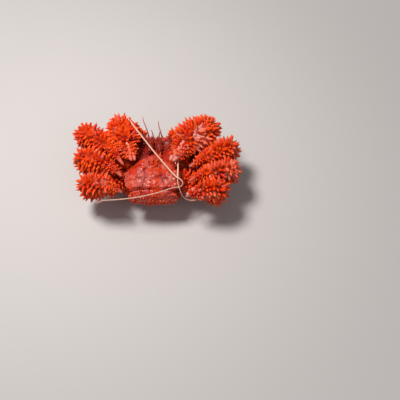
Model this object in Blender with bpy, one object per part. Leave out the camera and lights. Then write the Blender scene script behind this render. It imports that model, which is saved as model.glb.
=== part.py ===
# A boiled hanasaki crab, life size, lying on its back with its legs folded over its belly.
# The frame is +Z up and the head points along +Y, so the crab's own right side is at -X.
# Every size below is in millimetres, and the finished objects are scaled to metres.
import math
import random

import bmesh
import bpy
import numpy as np
from mathutils import Vector
from mathutils.bvhtree import BVHTree

metres_per_unit = 0.001
up = Vector((0, 0, 1))

# Driving sizes of the shell
carapace_half_width = 63
carapace_half_length = 60
carapace_front_narrowing = 0.2
rostrum_reach = 7
rim_height = 40
dome_depth = 28
thorax_top = 69
belly_clearance = 0.4
joint_gap = 0.3

# Latitudes of the rings of the carapace, from its rim down to the middle of the back
carapace_latitudes = (0, 14, 30, 46, 62, 77)
carapace_sides = 26
rostrum_spread = 16

# Height, half width and half length of the sternum, which spreads to the carapace's rim below the legs
thorax_levels = ((40.3, 53, 50), (42.8, 54, 51), (44.8, 51, 50), (49, 43, 49), (56, 40, 48.5), (65, 38, 47),
                 (69, 32, 41))
thorax_sides = 22

# Half width and half height of each leg piece at its root, middle and end
leg_girth = {
    "base": ((10.5, 10), (11.5, 10.5), (12, 11)),
    "merus": ((12, 11), (14.5, 12.5), (13.5, 12)),
    "carpus": ((13, 12), (14.5, 13), (14, 12.5)),
    "propodus": ((14, 11.5), (15, 11.5), (11, 9)),
    "dactylus": ((9.5, 8), (6.8, 5.8), (1.7, 1.6)),
}
claw_girth = {
    "base": ((10, 10), (11, 10.5), (11.5, 10.5)),
    "merus": ((11.5, 11), (13.5, 12.5), (14, 12.5)),
    "carpus": ((13.5, 12.5), (17, 14), (17.5, 13.5)),
    "palm": ((18, 12), (23.5, 14), (18, 11)),
}
finger_girth = ((8.5, 8), (6.6, 6), (2, 1.9))
finger_spread = 7.4
finger_tip_spread = 2.6
finger_root_overlap = 8
finger_root_setback = 6
finger_tip_setback = 1.5

# Where along a limb piece its middle girths stand, and the latitudes of the rings of its round ends
girth_places = (0.4, 0.75)
end_latitudes = (35, 65)
leg_sides = 8
claw_sides = 9
finger_sides = 8

# Joints of each limb from hip to tip. The legs' pieces are base, merus, carpus, propodus, dactylus
leg_joints = {
    "leg_right_1": ((-30, 26, 57), (-50, 34, 57), (-124, 57, 52), (-122, 54, 80), (-80, 23, 88),
                    (-51, -14, 84)),
    "leg_right_2": ((-32, 4, 57), (-53, 4, 57), (-121, 7, 50), (-119, 4, 78), (-79, -14, 87),
                    (-53, -36, 83)),
    "leg_right_3": ((-30, -18, 57), (-50, -27, 57), (-107, -46, 50), (-107, -47, 78), (-75, -56, 86),
                    (-51, -65, 79)),
    "leg_left_1": ((30, 26, 57), (50, 29, 57), (129, 28, 52), (128, 24, 80), (91, 1, 87), (62, -16, 81)),
    "leg_left_2": ((32, 4, 57), (53, 1, 57), (130, -14, 50), (130, -17, 78), (90, -31, 86), (62, -43, 80)),
    "leg_left_3": ((30, -18, 57), (49, -26, 57), (108, -54, 50), (109, -57, 77), (79, -65, 84),
                   (56, -72, 77)),
}
# Hip, base end, elbow, wrist, root of the fingers and their tips
claw_joints = {
    "claw_right": ((-19, 42, 57), (-29, 57, 57), (-60, 80, 55), (-60, 65, 84), (-47, 24, 93), (-34, -8, 88)),
    "claw_left": ((19, 42, 57), (31, 55, 57), (88, 76, 56), (87, 58, 86), (54, 24, 97), (31, -10, 90)),
}
claw_size = {"claw_right": 1.05, "claw_left": 1.25}
leg_pieces = ("base", "merus", "carpus", "propodus", "dactylus")
claw_pieces = ("base", "merus", "carpus", "palm")

# Stations of the abdomen, folded up from the back edge of the carapace and forward over the belly
flap_profile = ((-62, 38, 5.5), (-56, 41.5, 6.5), (-48, 44, 7.2), (-38, 45, 7.8), (-28, 43, 8),
                (-18, 38, 7.8), (-9, 31, 7.2), (-1, 22, 6.2), (6, 13, 5), (11, 6, 3.2))
flap_hinge_y = -66
flap_edge_lifts = (5, 3)
dome_floor = 8
abdomen_sides = 16
base_profile = ((-48, 44.8, 32, 3), (-58, 45.6, 36, 3.5), (-65, 49, 38, 4), (-69.5, 57, 40, 4.2),
                (-67.5, 66, 40, 4.6), (-60, 72, 39.5, 5), (-50, 75, 37, 5))
flap_tip_y = 15
# The plane where the flap meets the base, and the block that ends the base there:
# its width and depth, and how far it reaches below and above the hinge
hinge_place = (0, -60, 74.4)
hinge_direction = (0, 1, -0.35)
hinge_block_width = 120
hinge_block_depth = 50
hinge_block_below = 11
hinge_block_above = 20
# Swellings of the flap's plates: place, spread and height
flap_domes = ((-22, -14, 13, 3), (20, -16, 12, 2), (-27, -46, 14, 3), (25, -44, 13, 2.5), (0, -32, 12, 1.5))

# The outer mouthparts, eye stalks and feelers of the crab's left side; the right side mirrors them
mouthpart_line = ((9, 18, 72.5), (9, 24, 74.5), (8, 34, 75), (7, 43, 72), (5.5, 52, 63), (5, 57, 55))
mouthpart_girth = (2.5, 5, 6, 5.5, 4.5, 2.5)
eye_line = ((5, 46, 43.6), (6.5, 57, 43.7), (8, 61, 43.8), (8.8, 64.5, 43.9), (9.4, 67, 44))
eye_girth = (2.2, 1.9, 2.6, 3, 1.6)
feeler_girth = (3.6, 3.4, 2.4, 1.1, 0.9, 0.7, 0.4)
feeler_lines = {
    "feeler_right": ((-14, 43, 45), (-14, 55, 46), (-13.5, 62, 48), (-15, 71, 53), (-19, 81, 60),
                     (-23, 90, 65), (-25, 98, 67)),
    "feeler_left": ((14, 43, 45), (13.5, 55, 46), (12, 62, 48), (9, 70, 52), (6, 79, 56), (4, 88, 57),
                    (3, 97, 55)),
}

# Two linked elastic bands, each drawn round the legs of one side
band_radius = 1.1
band_sides = 5
band_points = 46
band_routes = {
    "band_right_side": ((-44, 66, 104), (-52, 85, 95), (-57, 99, 74), (-57, 98, 48), (-66, 82, 37),
                        (-80, 46, 35), (-90, 8, 32), (-93, -38, 31), (-96, -60, 38), (-96, -72, 54),
                        (-84, -75, 68), (-60, -77, 75), (-30, -76, 80), (4, -70, 83.5), (34, -59, 83),
                        (46, -57, 83), (51, -52, 87.5), (46, -46, 92), (37, -40, 93), (0, 6, 97)),
    "band_left_side": ((42, -44, 88.6), (42, -24, 86), (42, 0, 79.5), (46, 24, 74), (58, 68, 73),
                       (66, 92, 66), (66, 93, 48), (70, 76, 37), (86, 36, 34), (94, -4, 32), (84, -46, 33),
                       (69, -60, 41), (57, -66, 56), (50, -67, 70), (46, -62, 82), (43, -54, 87.6)),
}

# Spines are five-sided cones with their roots sunk in: how many a piece has, length and root radius
spine_sides = 5
root_depth = 2.5
spine_samples = 11
clear_of_others = 0.45
sample_margin = 0.15
lowest_tip = 0.6
spine_spacing = 0.62
tries_per_spine = 40
spine_wobble = 0.1
# A spine with no room for its whole length is tried at these shares of it
spine_shortenings = (1, 0.75, 0.55)
spine_seed = 7
spine_plan = {
    "carapace": (88, 8, 14, 3.0),
    "abdomen_flap": (26, 2.4, 4, 2.4),
    "abdomen_base": (14, 3, 6, 2.2),
    "base": (3, 4, 6, 2.0),
    "merus": (16, 7, 11, 2.7),
    "carpus": (15, 9, 13, 3.0),
    "propodus": (19, 9, 13, 2.9),
    "dactylus": (4, 3, 5, 1.8),
    "palm": (40, 10, 14, 3.2),
    "finger": (6, 4, 7, 2.0),
}
# How far along its piece the last spine may stand, where it isn't the whole way
spine_reach = {"dactylus": 0.45, "finger": 0.5, "propodus": 0.85}
spine_lean = 0.3

# The strongest spines of the back, cut flat where they stand on the floor
foot_places = ((0, 42), (-24, 30), (24, 30), (-10, 12), (10, 12), (-40, 2), (40, 2), (-10, -17), (10, -17),
               (-34, -27), (34, -27), (0, -42))
foot_radius = 4.2
foot_lean = 0.004
# The share of a foot spine that is left above its flat
foot_share = 0.66
foot_turn = 0.3

# The rostrum's own spines, over the eyes: root, heading, length and root radius
rostrum_spines = (((0, 62, 36), (0, 1, -0.1), 13, 3.2), ((-7, 60, 34), (-0.25, 1, -0.35), 10, 2.8),
                  ((7, 60, 34), (0.25, 1, -0.35), 10, 2.8), ((0, 59, 30), (0, 1, -0.7), 10, 2.8))

# Surface colours: red, green, blue and roughness
finishes = {
    "shell": ((0.72, 0.08, 0.02), 0.4),
    "underside": ((0.75, 0.24, 0.15), 0.45),
    "eye": ((0.03, 0.02, 0.02), 0.15),
    "feeler": ((0.35, 0.03, 0.02), 0.4),
    "elastic": ((0.85, 0.5, 0.32), 0.5),
}
finish_of_kind = {
    "thorax": "underside", "abdomen_flap": "underside", "abdomen_base": "underside",
    "mouthpart": "underside", "base": "underside", "eye": "eye", "feeler": "feeler", "band": "elastic",
}

# Swellings of the back over the stomach, the heart and the gills: place, spread and height
back_regions = ((0, 22, 20, 4.0), (0, -22, 13, 3.0), (31, -16, 20, 3.5), (-31, -16, 20, 3.5))


def clear_scene():
    for obj in list(bpy.data.objects):
        bpy.data.objects.remove(obj, do_unlink=True)


def finish_mesh(bm):
    bmesh.ops.remove_doubles(bm, verts=bm.verts, dist=0.02)
    bmesh.ops.recalc_face_normals(bm, faces=bm.faces)
    return bm


def ring_points(centre, along, side_from, half_width, half_height, sides):
    across = along.cross(side_from).normalized()
    top = across.cross(along)
    angles = [2 * math.pi * (k + 0.5) / sides for k in range(sides)]
    return [centre + across * half_width * math.cos(a) + top * half_height * math.sin(a) for a in angles]


# A closed skin over elliptical rings: each station is a centre, a half width and a half height
def loft(stations, side_from, sides, start=None, end=None):
    bm = bmesh.new()
    centres = [Vector(centre) for centre, _, _ in stations]
    rings = []
    for i, (centre, half_width, half_height) in enumerate(stations):
        along = (centres[min(i + 1, len(centres) - 1)] - centres[max(i - 1, 0)]).normalized()
        points = ring_points(Vector(centre), along, side_from, half_width, half_height, sides)
        rings.append([bm.verts.new(p) for p in points])
    for lower, upper in zip(rings, rings[1:]):
        for k in range(sides):
            n = (k + 1) % sides
            bm.faces.new((lower[k], lower[n], upper[n], upper[k]))
    for ring, pole in ((rings[0], start or centres[0]), (rings[-1], end or centres[-1])):
        tip = bm.verts.new(pole)
        for k in range(sides):
            bm.faces.new((ring[k], ring[(k + 1) % sides], tip))
    return finish_mesh(bm)


# One leg piece: a barrel with round ends, which the joint planes then trim
def barrel(start, end, girth, sides, pointed=False):
    (w0, h0), (w1, h1), (w2, h2) = girth
    middle, late = girth_places
    along = (end - start).normalized()
    stations = []
    for angle in end_latitudes:
        reach, size = math.cos(math.radians(angle)), math.sin(math.radians(angle))
        stations.append((start - along * w0 * reach, w0 * size, h0 * size))
    stations.append((start, w0, h0))
    stations.append((start.lerp(end, middle), w1, h1))
    stations.append((start.lerp(end, late), (w1 + w2) / 2, (h1 + h2) / 2))
    stations.append((end, w2, h2))
    if not pointed:
        for angle in reversed(end_latitudes):
            reach, size = math.cos(math.radians(angle)), math.sin(math.radians(angle))
            stations.append((end + along * w2 * reach, w2 * size, h2 * size))
    return loft(stations, up, sides, start - along * w0, end + along * w2)


# Keeps what lies behind the plane and closes the cut with a flat face
def trim(bm, point, normal):
    geometry = list(bm.verts) + list(bm.edges) + list(bm.faces)
    bmesh.ops.bisect_plane(bm, geom=geometry, dist=1e-4, plane_co=point, plane_no=normal, clear_outer=True)
    open_edges = [e for e in bm.edges if e.is_boundary]
    if open_edges:
        bmesh.ops.holes_fill(bm, edges=open_edges, sides=0)
    return finish_mesh(bm)


def to_object(name, bm):
    mesh = bpy.data.meshes.new(name)
    bm.to_mesh(mesh)
    bm.free()
    obj = bpy.data.objects.new(name, mesh)
    bpy.context.scene.collection.objects.link(obj)
    return obj


def apply_modifiers(obj):
    graph = bpy.context.evaluated_depsgraph_get()
    made = bpy.data.meshes.new_from_object(obj.evaluated_get(graph), depsgraph=graph)
    obj.modifiers.clear()
    obj.data = made


def boolean(obj, other, operation):
    step = obj.modifiers.new(operation.lower(), "BOOLEAN")
    step.operation = operation
    step.solver = "EXACT"
    step.object = other
    apply_modifiers(obj)
    bpy.data.objects.remove(other, do_unlink=True)


# A copy pushed outwards by the gap that touching pieces keep
def swollen(obj, gap):
    copy = obj.copy()
    copy.data = obj.data.copy()
    bpy.context.scene.collection.objects.link(copy)
    bm = bmesh.new()
    bm.from_mesh(copy.data)
    bm.normal_update()
    moves = [(v, v.normal * gap * max(1.0, v.calc_shell_factor())) for v in bm.verts]
    for v, move in moves:
        v.co += move
    bm.to_mesh(copy.data)
    bm.free()
    return copy


def cut_clear(obj, others, gap=joint_gap):
    for other in others:
        boolean(obj, swollen(other, gap), "DIFFERENCE")
    keep_largest(obj)


def surfaces_of(bm):
    left = set(bm.faces)
    islands = []
    while left:
        island, edge = set(), [left.pop()]
        while edge:
            face = edge.pop()
            island.add(face)
            near = {f for e in face.edges for f in e.link_faces} & left
            left -= near
            edge.extend(near)
        islands.append(island)
    return islands


def keep_largest(obj):
    bm = bmesh.new()
    bm.from_mesh(obj.data)
    islands = sorted(surfaces_of(bm), key=lambda faces: sum(f.calc_area() for f in faces))
    scraps = [face for island in islands[:-1] for face in island]
    if scraps:
        bmesh.ops.delete(bm, geom=scraps, context="FACES")
    bm.to_mesh(obj.data)
    bm.free()


# Plan outline of the carapace at an angle, narrower at the front with the rostrum standing out
def carapace_outline(angle):
    front = max(0.0, math.sin(angle))
    x = carapace_half_width * math.cos(angle) * (1 - carapace_front_narrowing * front ** 1.5)
    off_middle = (math.degrees(angle) - 90) / rostrum_spread
    y = carapace_half_length * math.sin(angle) + rostrum_reach * math.exp(-off_middle ** 2)
    return x, y


def swelling(x, y, regions):
    return sum(h * math.exp(-((x - rx) ** 2 + (y - ry) ** 2) / spread ** 2) for rx, ry, spread, h in regions)


def back_height(x, y, down):
    return rim_height - dome_depth * down ** 0.9 - swelling(x, y, back_regions) * down


def carapace_core():
    bm = bmesh.new()
    sides = carapace_sides
    rings = []
    for latitude in carapace_latitudes:
        out, down = math.cos(math.radians(latitude)), math.sin(math.radians(latitude))
        outline = [carapace_outline(2 * math.pi * k / sides) for k in range(sides)]
        ring = [(x * out, y * out, back_height(x * out, y * out, down)) for x, y in outline]
        rings.append([bm.verts.new(p) for p in ring])
    for lower, upper in zip(rings, rings[1:]):
        for k in range(sides):
            n = (k + 1) % sides
            bm.faces.new((lower[k], lower[n], upper[n], upper[k]))
    pole = bm.verts.new((0, 0, back_height(0, 0, 1)))
    for k in range(sides):
        bm.faces.new((rings[-1][k], rings[-1][(k + 1) % sides], pole))
    bm.faces.new(rings[0])
    return to_object("carapace", finish_mesh(bm))


def thorax_core():
    stations = [((0, 0, z), half_width, half_length) for z, half_width, half_length in thorax_levels]
    return to_object("thorax", loft(stations, Vector((0, -1, 0)), thorax_sides))


def hinge_block(hinge, normal):
    bm = bmesh.new()
    bmesh.ops.create_cube(bm, size=1)
    side = Vector((1, 0, 0))
    rise = side.cross(normal)
    for v in bm.verts:
        height = hinge_block_above if v.co.z > 0 else -hinge_block_below
        forward = normal * (v.co.y + 0.5) * hinge_block_depth
        v.co = hinge + side * v.co.x * hinge_block_width + forward + rise * height
    return to_object("hinge_block", finish_mesh(bm))


def abdomen_cores():
    floor = thorax_top + belly_clearance
    stations = [((0, y, floor + h), w, h) for y, w, h in flap_profile]
    hinge_end = (0, flap_hinge_y, floor + flap_edge_lifts[0])
    tip_end = (0, flap_tip_y, floor + flap_edge_lifts[1])
    flap = loft(stations, up, abdomen_sides, hinge_end, tip_end)
    for v in flap.verts:
        if v.co.z > floor + dome_floor:
            v.co.z += swelling(v.co.x, v.co.y, flap_domes)
    hinge, normal = Vector(hinge_place), Vector(hinge_direction).normalized()
    trim(flap, hinge + normal * joint_gap / 2, -normal)
    stations = [((0, y, z), w, h) for y, z, w, h in base_profile]
    base = to_object("abdomen_base", loft(stations, Vector((0, 1, 0)), abdomen_sides))
    boolean(base, hinge_block(hinge - normal * joint_gap / 2, normal), "DIFFERENCE")
    return to_object("abdomen_flap", flap), base


def joint_normal(points, j):
    before = (points[j] - points[j - 1]).normalized()
    after = (points[j + 1] - points[j]).normalized()
    return (before + after).normalized()


def limb_piece(points, i, girth, sides, last):
    bm = barrel(points[i], points[i + 1], girth, sides, pointed=last)
    if i > 0:
        normal = joint_normal(points, i)
        trim(bm, points[i] + normal * joint_gap / 2, -normal)
    if not last:
        normal = joint_normal(points, i + 1)
        trim(bm, points[i + 1] - normal * joint_gap / 2, normal)
    return bm


def leg_cores(limb):
    points = [Vector(p) for p in leg_joints[limb]]
    made = {}
    for i, piece in enumerate(leg_pieces):
        bm = limb_piece(points, i, leg_girth[piece], leg_sides, piece == "dactylus")
        made[piece] = to_object(limb + "_" + piece, bm)
    return made


# The palm carries the fixed finger, and the moving finger lies beside it on the outer side
def claw_cores(limb):
    points = [Vector(p) for p in claw_joints[limb]]
    size = claw_size[limb]
    made = {}
    for i, piece in enumerate(claw_pieces):
        scale = 1.0 if piece == "base" else size
        girth = [(w * scale, h * scale) for w, h in claw_girth[piece]]
        made[piece] = to_object(limb + "_" + piece, limb_piece(points, i, girth, claw_sides, False))
    root, tip = points[4], points[5]
    along = (tip - root).normalized()
    across = along.cross(up).normalized() * (1 if limb == "claw_right" else -1)
    girth = [(w * size, h * size) for w, h in finger_girth]
    root_aside, tip_aside = across * finger_spread * size, across * finger_tip_spread
    fixed_root = root - root_aside - along * finger_root_overlap
    fixed = barrel(fixed_root, tip - tip_aside, girth, finger_sides, True)
    trim(fixed, root - across * joint_gap / 2, across)
    boolean(made["palm"], to_object("fixed", fixed), "UNION")
    moving_root = root + root_aside + along * finger_root_setback
    moving_tip = tip + tip_aside - along * finger_tip_setback
    moving = barrel(moving_root, moving_tip, girth, finger_sides, True)
    trim(moving, root + across * joint_gap / 2, -across)
    made["finger"] = to_object(limb + "_finger", moving)
    cut_clear(made["finger"], [made["palm"]])
    return made


# A slender piece along a line of points, with one radius for each
def slender(name, line, girth, sides, flip):
    points = [Vector((x * flip, y, z)) for x, y, z in line]
    stations = [(p, r, r) for p, r in zip(points, girth)]
    return to_object(name, loft(stations, up, sides))


def face_pieces():
    made = {}
    for side, flip in (("right", -1), ("left", 1)):
        made["mouthpart_" + side] = slender("mouthpart_" + side, mouthpart_line, mouthpart_girth, 8, flip)
        made["eye_" + side] = slender("eye_" + side, eye_line, eye_girth, 8, flip)
        made["feeler_" + side] = slender("feeler_" + side, feeler_lines["feeler_" + side], feeler_girth, 6, 1)
    return made


def smooth_loop(route, count):
    corners = [Vector(p) for p in route]
    total = len(corners)
    samples = []
    for i in range(total * 12):
        k, t = divmod(i / 12, 1)
        a, b, c, d = (corners[(int(k) + j - 1) % total] for j in range(4))
        samples.append(0.5 * (2 * b + (c - a) * t + (2 * a - 5 * b + 4 * c - d) * t ** 2
                              + (3 * b - a - 3 * c + d) * t ** 3))
    lengths = [0.0]
    for p, q in zip(samples, samples[1:] + samples[:1]):
        lengths.append(lengths[-1] + (q - p).length)
    picked = []
    for i in range(count):
        goal = lengths[-1] * i / count
        j = max(k for k in range(len(samples)) if lengths[k] <= goal)
        share = (goal - lengths[j]) / (lengths[j + 1] - lengths[j])
        picked.append(samples[j].lerp(samples[(j + 1) % len(samples)], share))
    return picked


# A closed tube whose rings are carried along the loop without twisting
def band(name, route):
    points = smooth_loop(route, band_points)
    count = len(points)
    bm = bmesh.new()
    across = None
    rings = []
    for i, p in enumerate(points):
        along = (points[(i + 1) % count] - points[i - 1]).normalized()
        start = across or along.cross(up)
        across = (start - along * start.dot(along)).normalized()
        top = across.cross(along)
        angles = [2 * math.pi * k / band_sides for k in range(band_sides)]
        spokes = [across * math.cos(a) + top * math.sin(a) for a in angles]
        rings.append([bm.verts.new(p + spoke * band_radius) for spoke in spokes])
    offsets = range(band_sides)
    turn = min(offsets, key=lambda o: sum((rings[-1][k].co - rings[0][(k + o) % band_sides].co).length
                                          for k in range(band_sides)))
    for i in range(count):
        lower, upper = rings[i], rings[(i + 1) % count]
        shift = turn if i == count - 1 else 0
        for k in range(band_sides):
            n = (k + 1) % band_sides
            above, beside = (n + shift) % band_sides, (k + shift) % band_sides
            bm.faces.new((lower[k], lower[n], upper[above], upper[beside]))
    return to_object(name, finish_mesh(bm))


def build_cores():
    cores = {"carapace": carapace_core(), "thorax": thorax_core()}
    cores["abdomen_flap"], cores["abdomen_base"] = abdomen_cores()
    cut_clear(cores["abdomen_base"], [cores["carapace"], cores["thorax"]])
    cores.update(face_pieces())
    for side in ("right", "left"):
        cut_clear(cores["mouthpart_" + side], [cores["thorax"], cores["abdomen_flap"]])
        cut_clear(cores["feeler_" + side], [cores["thorax"]])
        cut_clear(cores["eye_" + side], [cores["thorax"]])
    for limb in list(leg_joints) + list(claw_joints):
        made = leg_cores(limb) if limb in leg_joints else claw_cores(limb)
        cut_clear(made["base"], [cores["thorax"]])
        for piece, obj in made.items():
            cores[limb + "_" + piece] = obj
    for name, route in band_routes.items():
        cores[name] = band(name, route)
    return cores


# The middle line of each limb piece, from its root to its end
def piece_axes():
    axes = {}
    for limb, points in {**leg_joints, **claw_joints}.items():
        names = leg_pieces if limb in leg_joints else claw_pieces + ("finger",)
        for i, piece in enumerate(names):
            axes[limb + "_" + piece] = (Vector(points[i]), Vector(points[i + 1]))
    return axes


def kind_of(name):
    return name if name in spine_plan else name.split("_")[-1]


# A random point on the mesh with its face normal, evenly spread by area
def surface_point(faces, ends, dice):
    face = faces[int(np.searchsorted(ends, dice.random() * ends[-1]))]
    a, b, c = (v.co for v in face.verts)
    u, v = sorted((dice.random(), dice.random()))
    return a * u + b * (v - u) + c * (1 - v), face.normal.copy()


def spine_heading(name, point, normal, axes, dice):
    wobble = Vector([dice.gauss(0, spine_wobble) for _ in range(3)])
    if name not in axes:
        outward = (point - Vector((0, 0, 62))).normalized() if name == "carapace" else normal
        return (normal + outward + wobble).normalized()
    start, end = axes[name]
    along = (end - start).normalized()
    share = (point - start).dot(along)
    nearest = start + along * min(max(share, 0), (end - start).length)
    return ((point - nearest).normalized() * 2 + normal + along * spine_lean + wobble).normalized()


def allowed(name, point, normal, axes):
    if name == "carapace":
        return normal.z < 0.3 and point.z < rim_height - 3
    if name == "abdomen_flap":
        return normal.z > 0.35
    if name == "abdomen_base":
        return normal.y < -0.2 or (normal.z > 0.6 and point.z > thorax_top)
    start, end = axes[name]
    share = (point - start).dot(end - start) / (end - start).length_squared
    return share < spine_reach.get(kind_of(name), 1.5)


# Knows every piece and every spine placed so far, and says whether a new spine is clear of the others
class Room:
    def __init__(self, cores):
        self.trees = {}
        self.boxes = {}
        for name, obj in cores.items():
            bm = bmesh.new()
            bm.from_mesh(obj.data)
            self.trees[name] = BVHTree.FromBMesh(bm)
            places = np.array([v.co for v in bm.verts])
            self.boxes[name] = (places.min(axis=0), places.max(axis=0))
            bm.free()
        self.places = np.zeros((0, 3))
        self.radii = np.zeros(0)
        self.owners = []

    def samples(self, root, heading, length, radius):
        steps = np.append(-root_depth / length, np.linspace(0, 1, spine_samples))
        places = np.array(root) + np.outer(steps * length, np.array(heading))
        return places, radius * (1 - steps) + sample_margin

    def is_clear(self, name, places, radii):
        if places[:, 2].min() < lowest_tip and name != "carapace":
            return False
        low, high = places.min(axis=0) - 4, places.max(axis=0) + 4
        for other, tree in self.trees.items():
            if other == name or (self.boxes[other][0] > high).any() or (self.boxes[other][1] < low).any():
                continue
            for place, radius in zip(places, radii):
                if tree.find_nearest(Vector(place), radius + clear_of_others)[0] is not None:
                    return False
        if len(self.owners):
            others = np.array([owner != name for owner in self.owners])
            gaps = np.linalg.norm(self.places[None, :, :] - places[:, None, :], axis=2)
            gaps = gaps - self.radii[None, :] - radii[:, None]
            return bool((gaps[:, others] > clear_of_others).all())
        return True

    def add(self, name, places, radii):
        self.places = np.vstack([self.places, places])
        self.radii = np.concatenate([self.radii, radii])
        self.owners += [name] * len(radii)


def cone(root, heading, length, radius, spin):
    bm = bmesh.new()
    across = heading.orthogonal().normalized()
    top = heading.cross(across)
    base = root - heading * root_depth
    wide = radius * (1 + root_depth / length)
    angles = [spin + 2 * math.pi * k / spine_sides for k in range(spine_sides)]
    ring = [bm.verts.new(base + (across * math.cos(a) + top * math.sin(a)) * wide) for a in angles]
    tip = bm.verts.new(root + heading * length)
    for k in range(spine_sides):
        bm.faces.new((ring[k], ring[(k + 1) % spine_sides], tip))
    bm.faces.new(ring)
    return finish_mesh(bm)


def place_spines(name, obj, room, axes, dice):
    count, shortest, longest, radius = spine_plan[kind_of(name)]
    bm = bmesh.new()
    bm.from_mesh(obj.data)
    bmesh.ops.triangulate(bm, faces=bm.faces)
    faces = list(bm.faces)
    ends = np.cumsum([f.calc_area() for f in faces])
    spacing = spine_spacing * math.sqrt(ends[-1] / count)
    cones, roots = [], []
    for _ in range(count * tries_per_spine):
        point, normal = surface_point(faces, ends, dice)
        if not allowed(name, point, normal, axes):
            continue
        if any((point - other).length < spacing for other in roots):
            continue
        heading = spine_heading(name, point, normal, axes, dice)
        length = dice.uniform(shortest, longest)
        for share in spine_shortenings:
            places, radii = room.samples(point, heading, length * share, radius)
            if room.is_clear(name, places, radii):
                room.add(name, places, radii)
                roots.append(point)
                cones.append(cone(point, heading, length * share, radius, dice.uniform(0, 1)))
                break
        if len(cones) == count:
            break
    bm.free()
    return cones


def rostrum_cones(room):
    cones = []
    for root, heading, length, radius in rostrum_spines:
        root, heading = Vector(root), Vector(heading).normalized()
        places, radii = room.samples(root, heading, length, radius)
        room.add("carapace", places, radii)
        cones.append(cone(root, heading, length, radius, foot_turn))
    return cones


def foot_cones(room):
    tree = room.trees["carapace"]
    cones = []
    for x, y in foot_places:
        root = tree.ray_cast(Vector((x, y, -50)), up)[0]
        heading = Vector((x * foot_lean, y * foot_lean, -1)).normalized()
        length = root.z / (foot_share * -heading.z)
        places, radii = room.samples(root, heading, length * foot_share, foot_radius)
        room.add("carapace", places, radii)
        foot = cone(root, heading, length, foot_radius, foot_turn)
        cones.append(trim(foot, Vector((0, 0, 0)), -up))
    return cones


# Joins the cones to their piece in one Boolean, then lets them go
def join_cones(obj, cones):
    group = bpy.data.collections.new("cones")
    bpy.context.scene.collection.children.link(group)
    for i, bm in enumerate(cones):
        mesh = bpy.data.meshes.new("cone")
        bm.to_mesh(mesh)
        bm.free()
        group.objects.link(bpy.data.objects.new("cone", mesh))
    step = obj.modifiers.new("spines", "BOOLEAN")
    step.operation = "UNION"
    step.solver = "EXACT"
    step.operand_type = "COLLECTION"
    step.collection = group
    apply_modifiers(obj)
    for helper in list(group.objects):
        bpy.data.objects.remove(helper, do_unlink=True)
    bpy.data.collections.remove(group)
    keep_largest(obj)


def grow_spines(cores):
    axes = piece_axes()
    room = Room(cores)
    dice = random.Random(spine_seed)
    fixed = foot_cones(room) + rostrum_cones(room)
    for name, obj in cores.items():
        if kind_of(name) not in spine_plan:
            continue
        cones = place_spines(name, obj, room, axes, dice)
        if name == "carapace":
            cones = [trim(bm, Vector((0, 0, 0)), -up) for bm in cones] + fixed
        join_cones(obj, cones)


def finish_name(name):
    kinds = (name, name.split("_")[0], name.split("_")[-1])
    return next((finish_of_kind[kind] for kind in kinds if kind in finish_of_kind), "shell")


def paint(cores):
    materials = {}
    for slot, (colour, roughness) in finishes.items():
        material = bpy.data.materials.new(slot)
        material.use_nodes = True
        shader = material.node_tree.nodes["Principled BSDF"]
        shader.inputs["Base Color"].default_value = (*colour, 1)
        shader.inputs["Roughness"].default_value = roughness
        materials[slot] = material
    for name, obj in cores.items():
        obj.data.materials.clear()
        obj.data.materials.append(materials[finish_name(name)])


# Puts the middle of the model's box over the origin, with the flats on the floor
def set_on_floor(cores):
    corners = np.array([v.co for obj in cores.values() for v in obj.data.vertices])
    middle = (corners.min(axis=0) + corners.max(axis=0)) / 2
    for obj in cores.values():
        obj.scale = (metres_per_unit, metres_per_unit, metres_per_unit)
        obj.location = (-middle[0] * metres_per_unit, -middle[1] * metres_per_unit, 0)


clear_scene()
cores = build_cores()
grow_spines(cores)
paint(cores)
set_on_floor(cores)
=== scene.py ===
# A boiled hanasaki crab lying on its back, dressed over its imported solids.
# The plans are in millimetres, as in the part's source: +Z up, the head points along +Y,
# and the crab's own right side is at -X.
import math
import random

import bmesh
import bpy
import numpy as np
from mathutils import Matrix, Vector
from mathutils.bvhtree import BVHTree


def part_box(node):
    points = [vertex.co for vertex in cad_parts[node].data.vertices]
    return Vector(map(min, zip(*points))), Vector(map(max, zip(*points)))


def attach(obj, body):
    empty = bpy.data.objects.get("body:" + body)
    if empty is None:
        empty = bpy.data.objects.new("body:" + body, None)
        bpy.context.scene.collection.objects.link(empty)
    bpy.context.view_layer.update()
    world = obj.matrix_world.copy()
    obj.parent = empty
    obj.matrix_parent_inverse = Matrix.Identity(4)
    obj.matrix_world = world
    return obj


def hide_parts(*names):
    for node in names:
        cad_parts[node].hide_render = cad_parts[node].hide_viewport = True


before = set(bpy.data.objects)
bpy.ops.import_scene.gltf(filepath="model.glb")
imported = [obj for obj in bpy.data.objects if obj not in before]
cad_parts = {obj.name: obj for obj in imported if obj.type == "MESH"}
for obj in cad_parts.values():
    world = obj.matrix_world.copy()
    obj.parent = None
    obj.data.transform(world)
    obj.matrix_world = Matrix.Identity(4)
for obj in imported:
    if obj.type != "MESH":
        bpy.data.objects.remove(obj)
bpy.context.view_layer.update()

mm = 0.001
touching = 1e-6  # points closer than this are one
up = Vector((0, 0, 1))
thoraxLow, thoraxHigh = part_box("thorax")
planOrigin = (thoraxLow + thoraxHigh) / 2  # the plans' x = y = 0 is the middle of the thorax
planOrigin.z = 0


# One point of a plan in metres, and back
def at(place):
    return Vector(place) * mm + planOrigin


def toPlan(point):
    return (point - planOrigin) / mm


# The same for arrays of points
def fromPlans(plans):
    return plans * mm + np.array(planOrigin)


def toPlans(places):
    return (places - np.array(planOrigin)) / mm


def deselectAll():
    if bpy.context.mode != "OBJECT":
        bpy.ops.object.mode_set(mode="OBJECT")
    bpy.ops.object.select_all(action="DESELECT")


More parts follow.
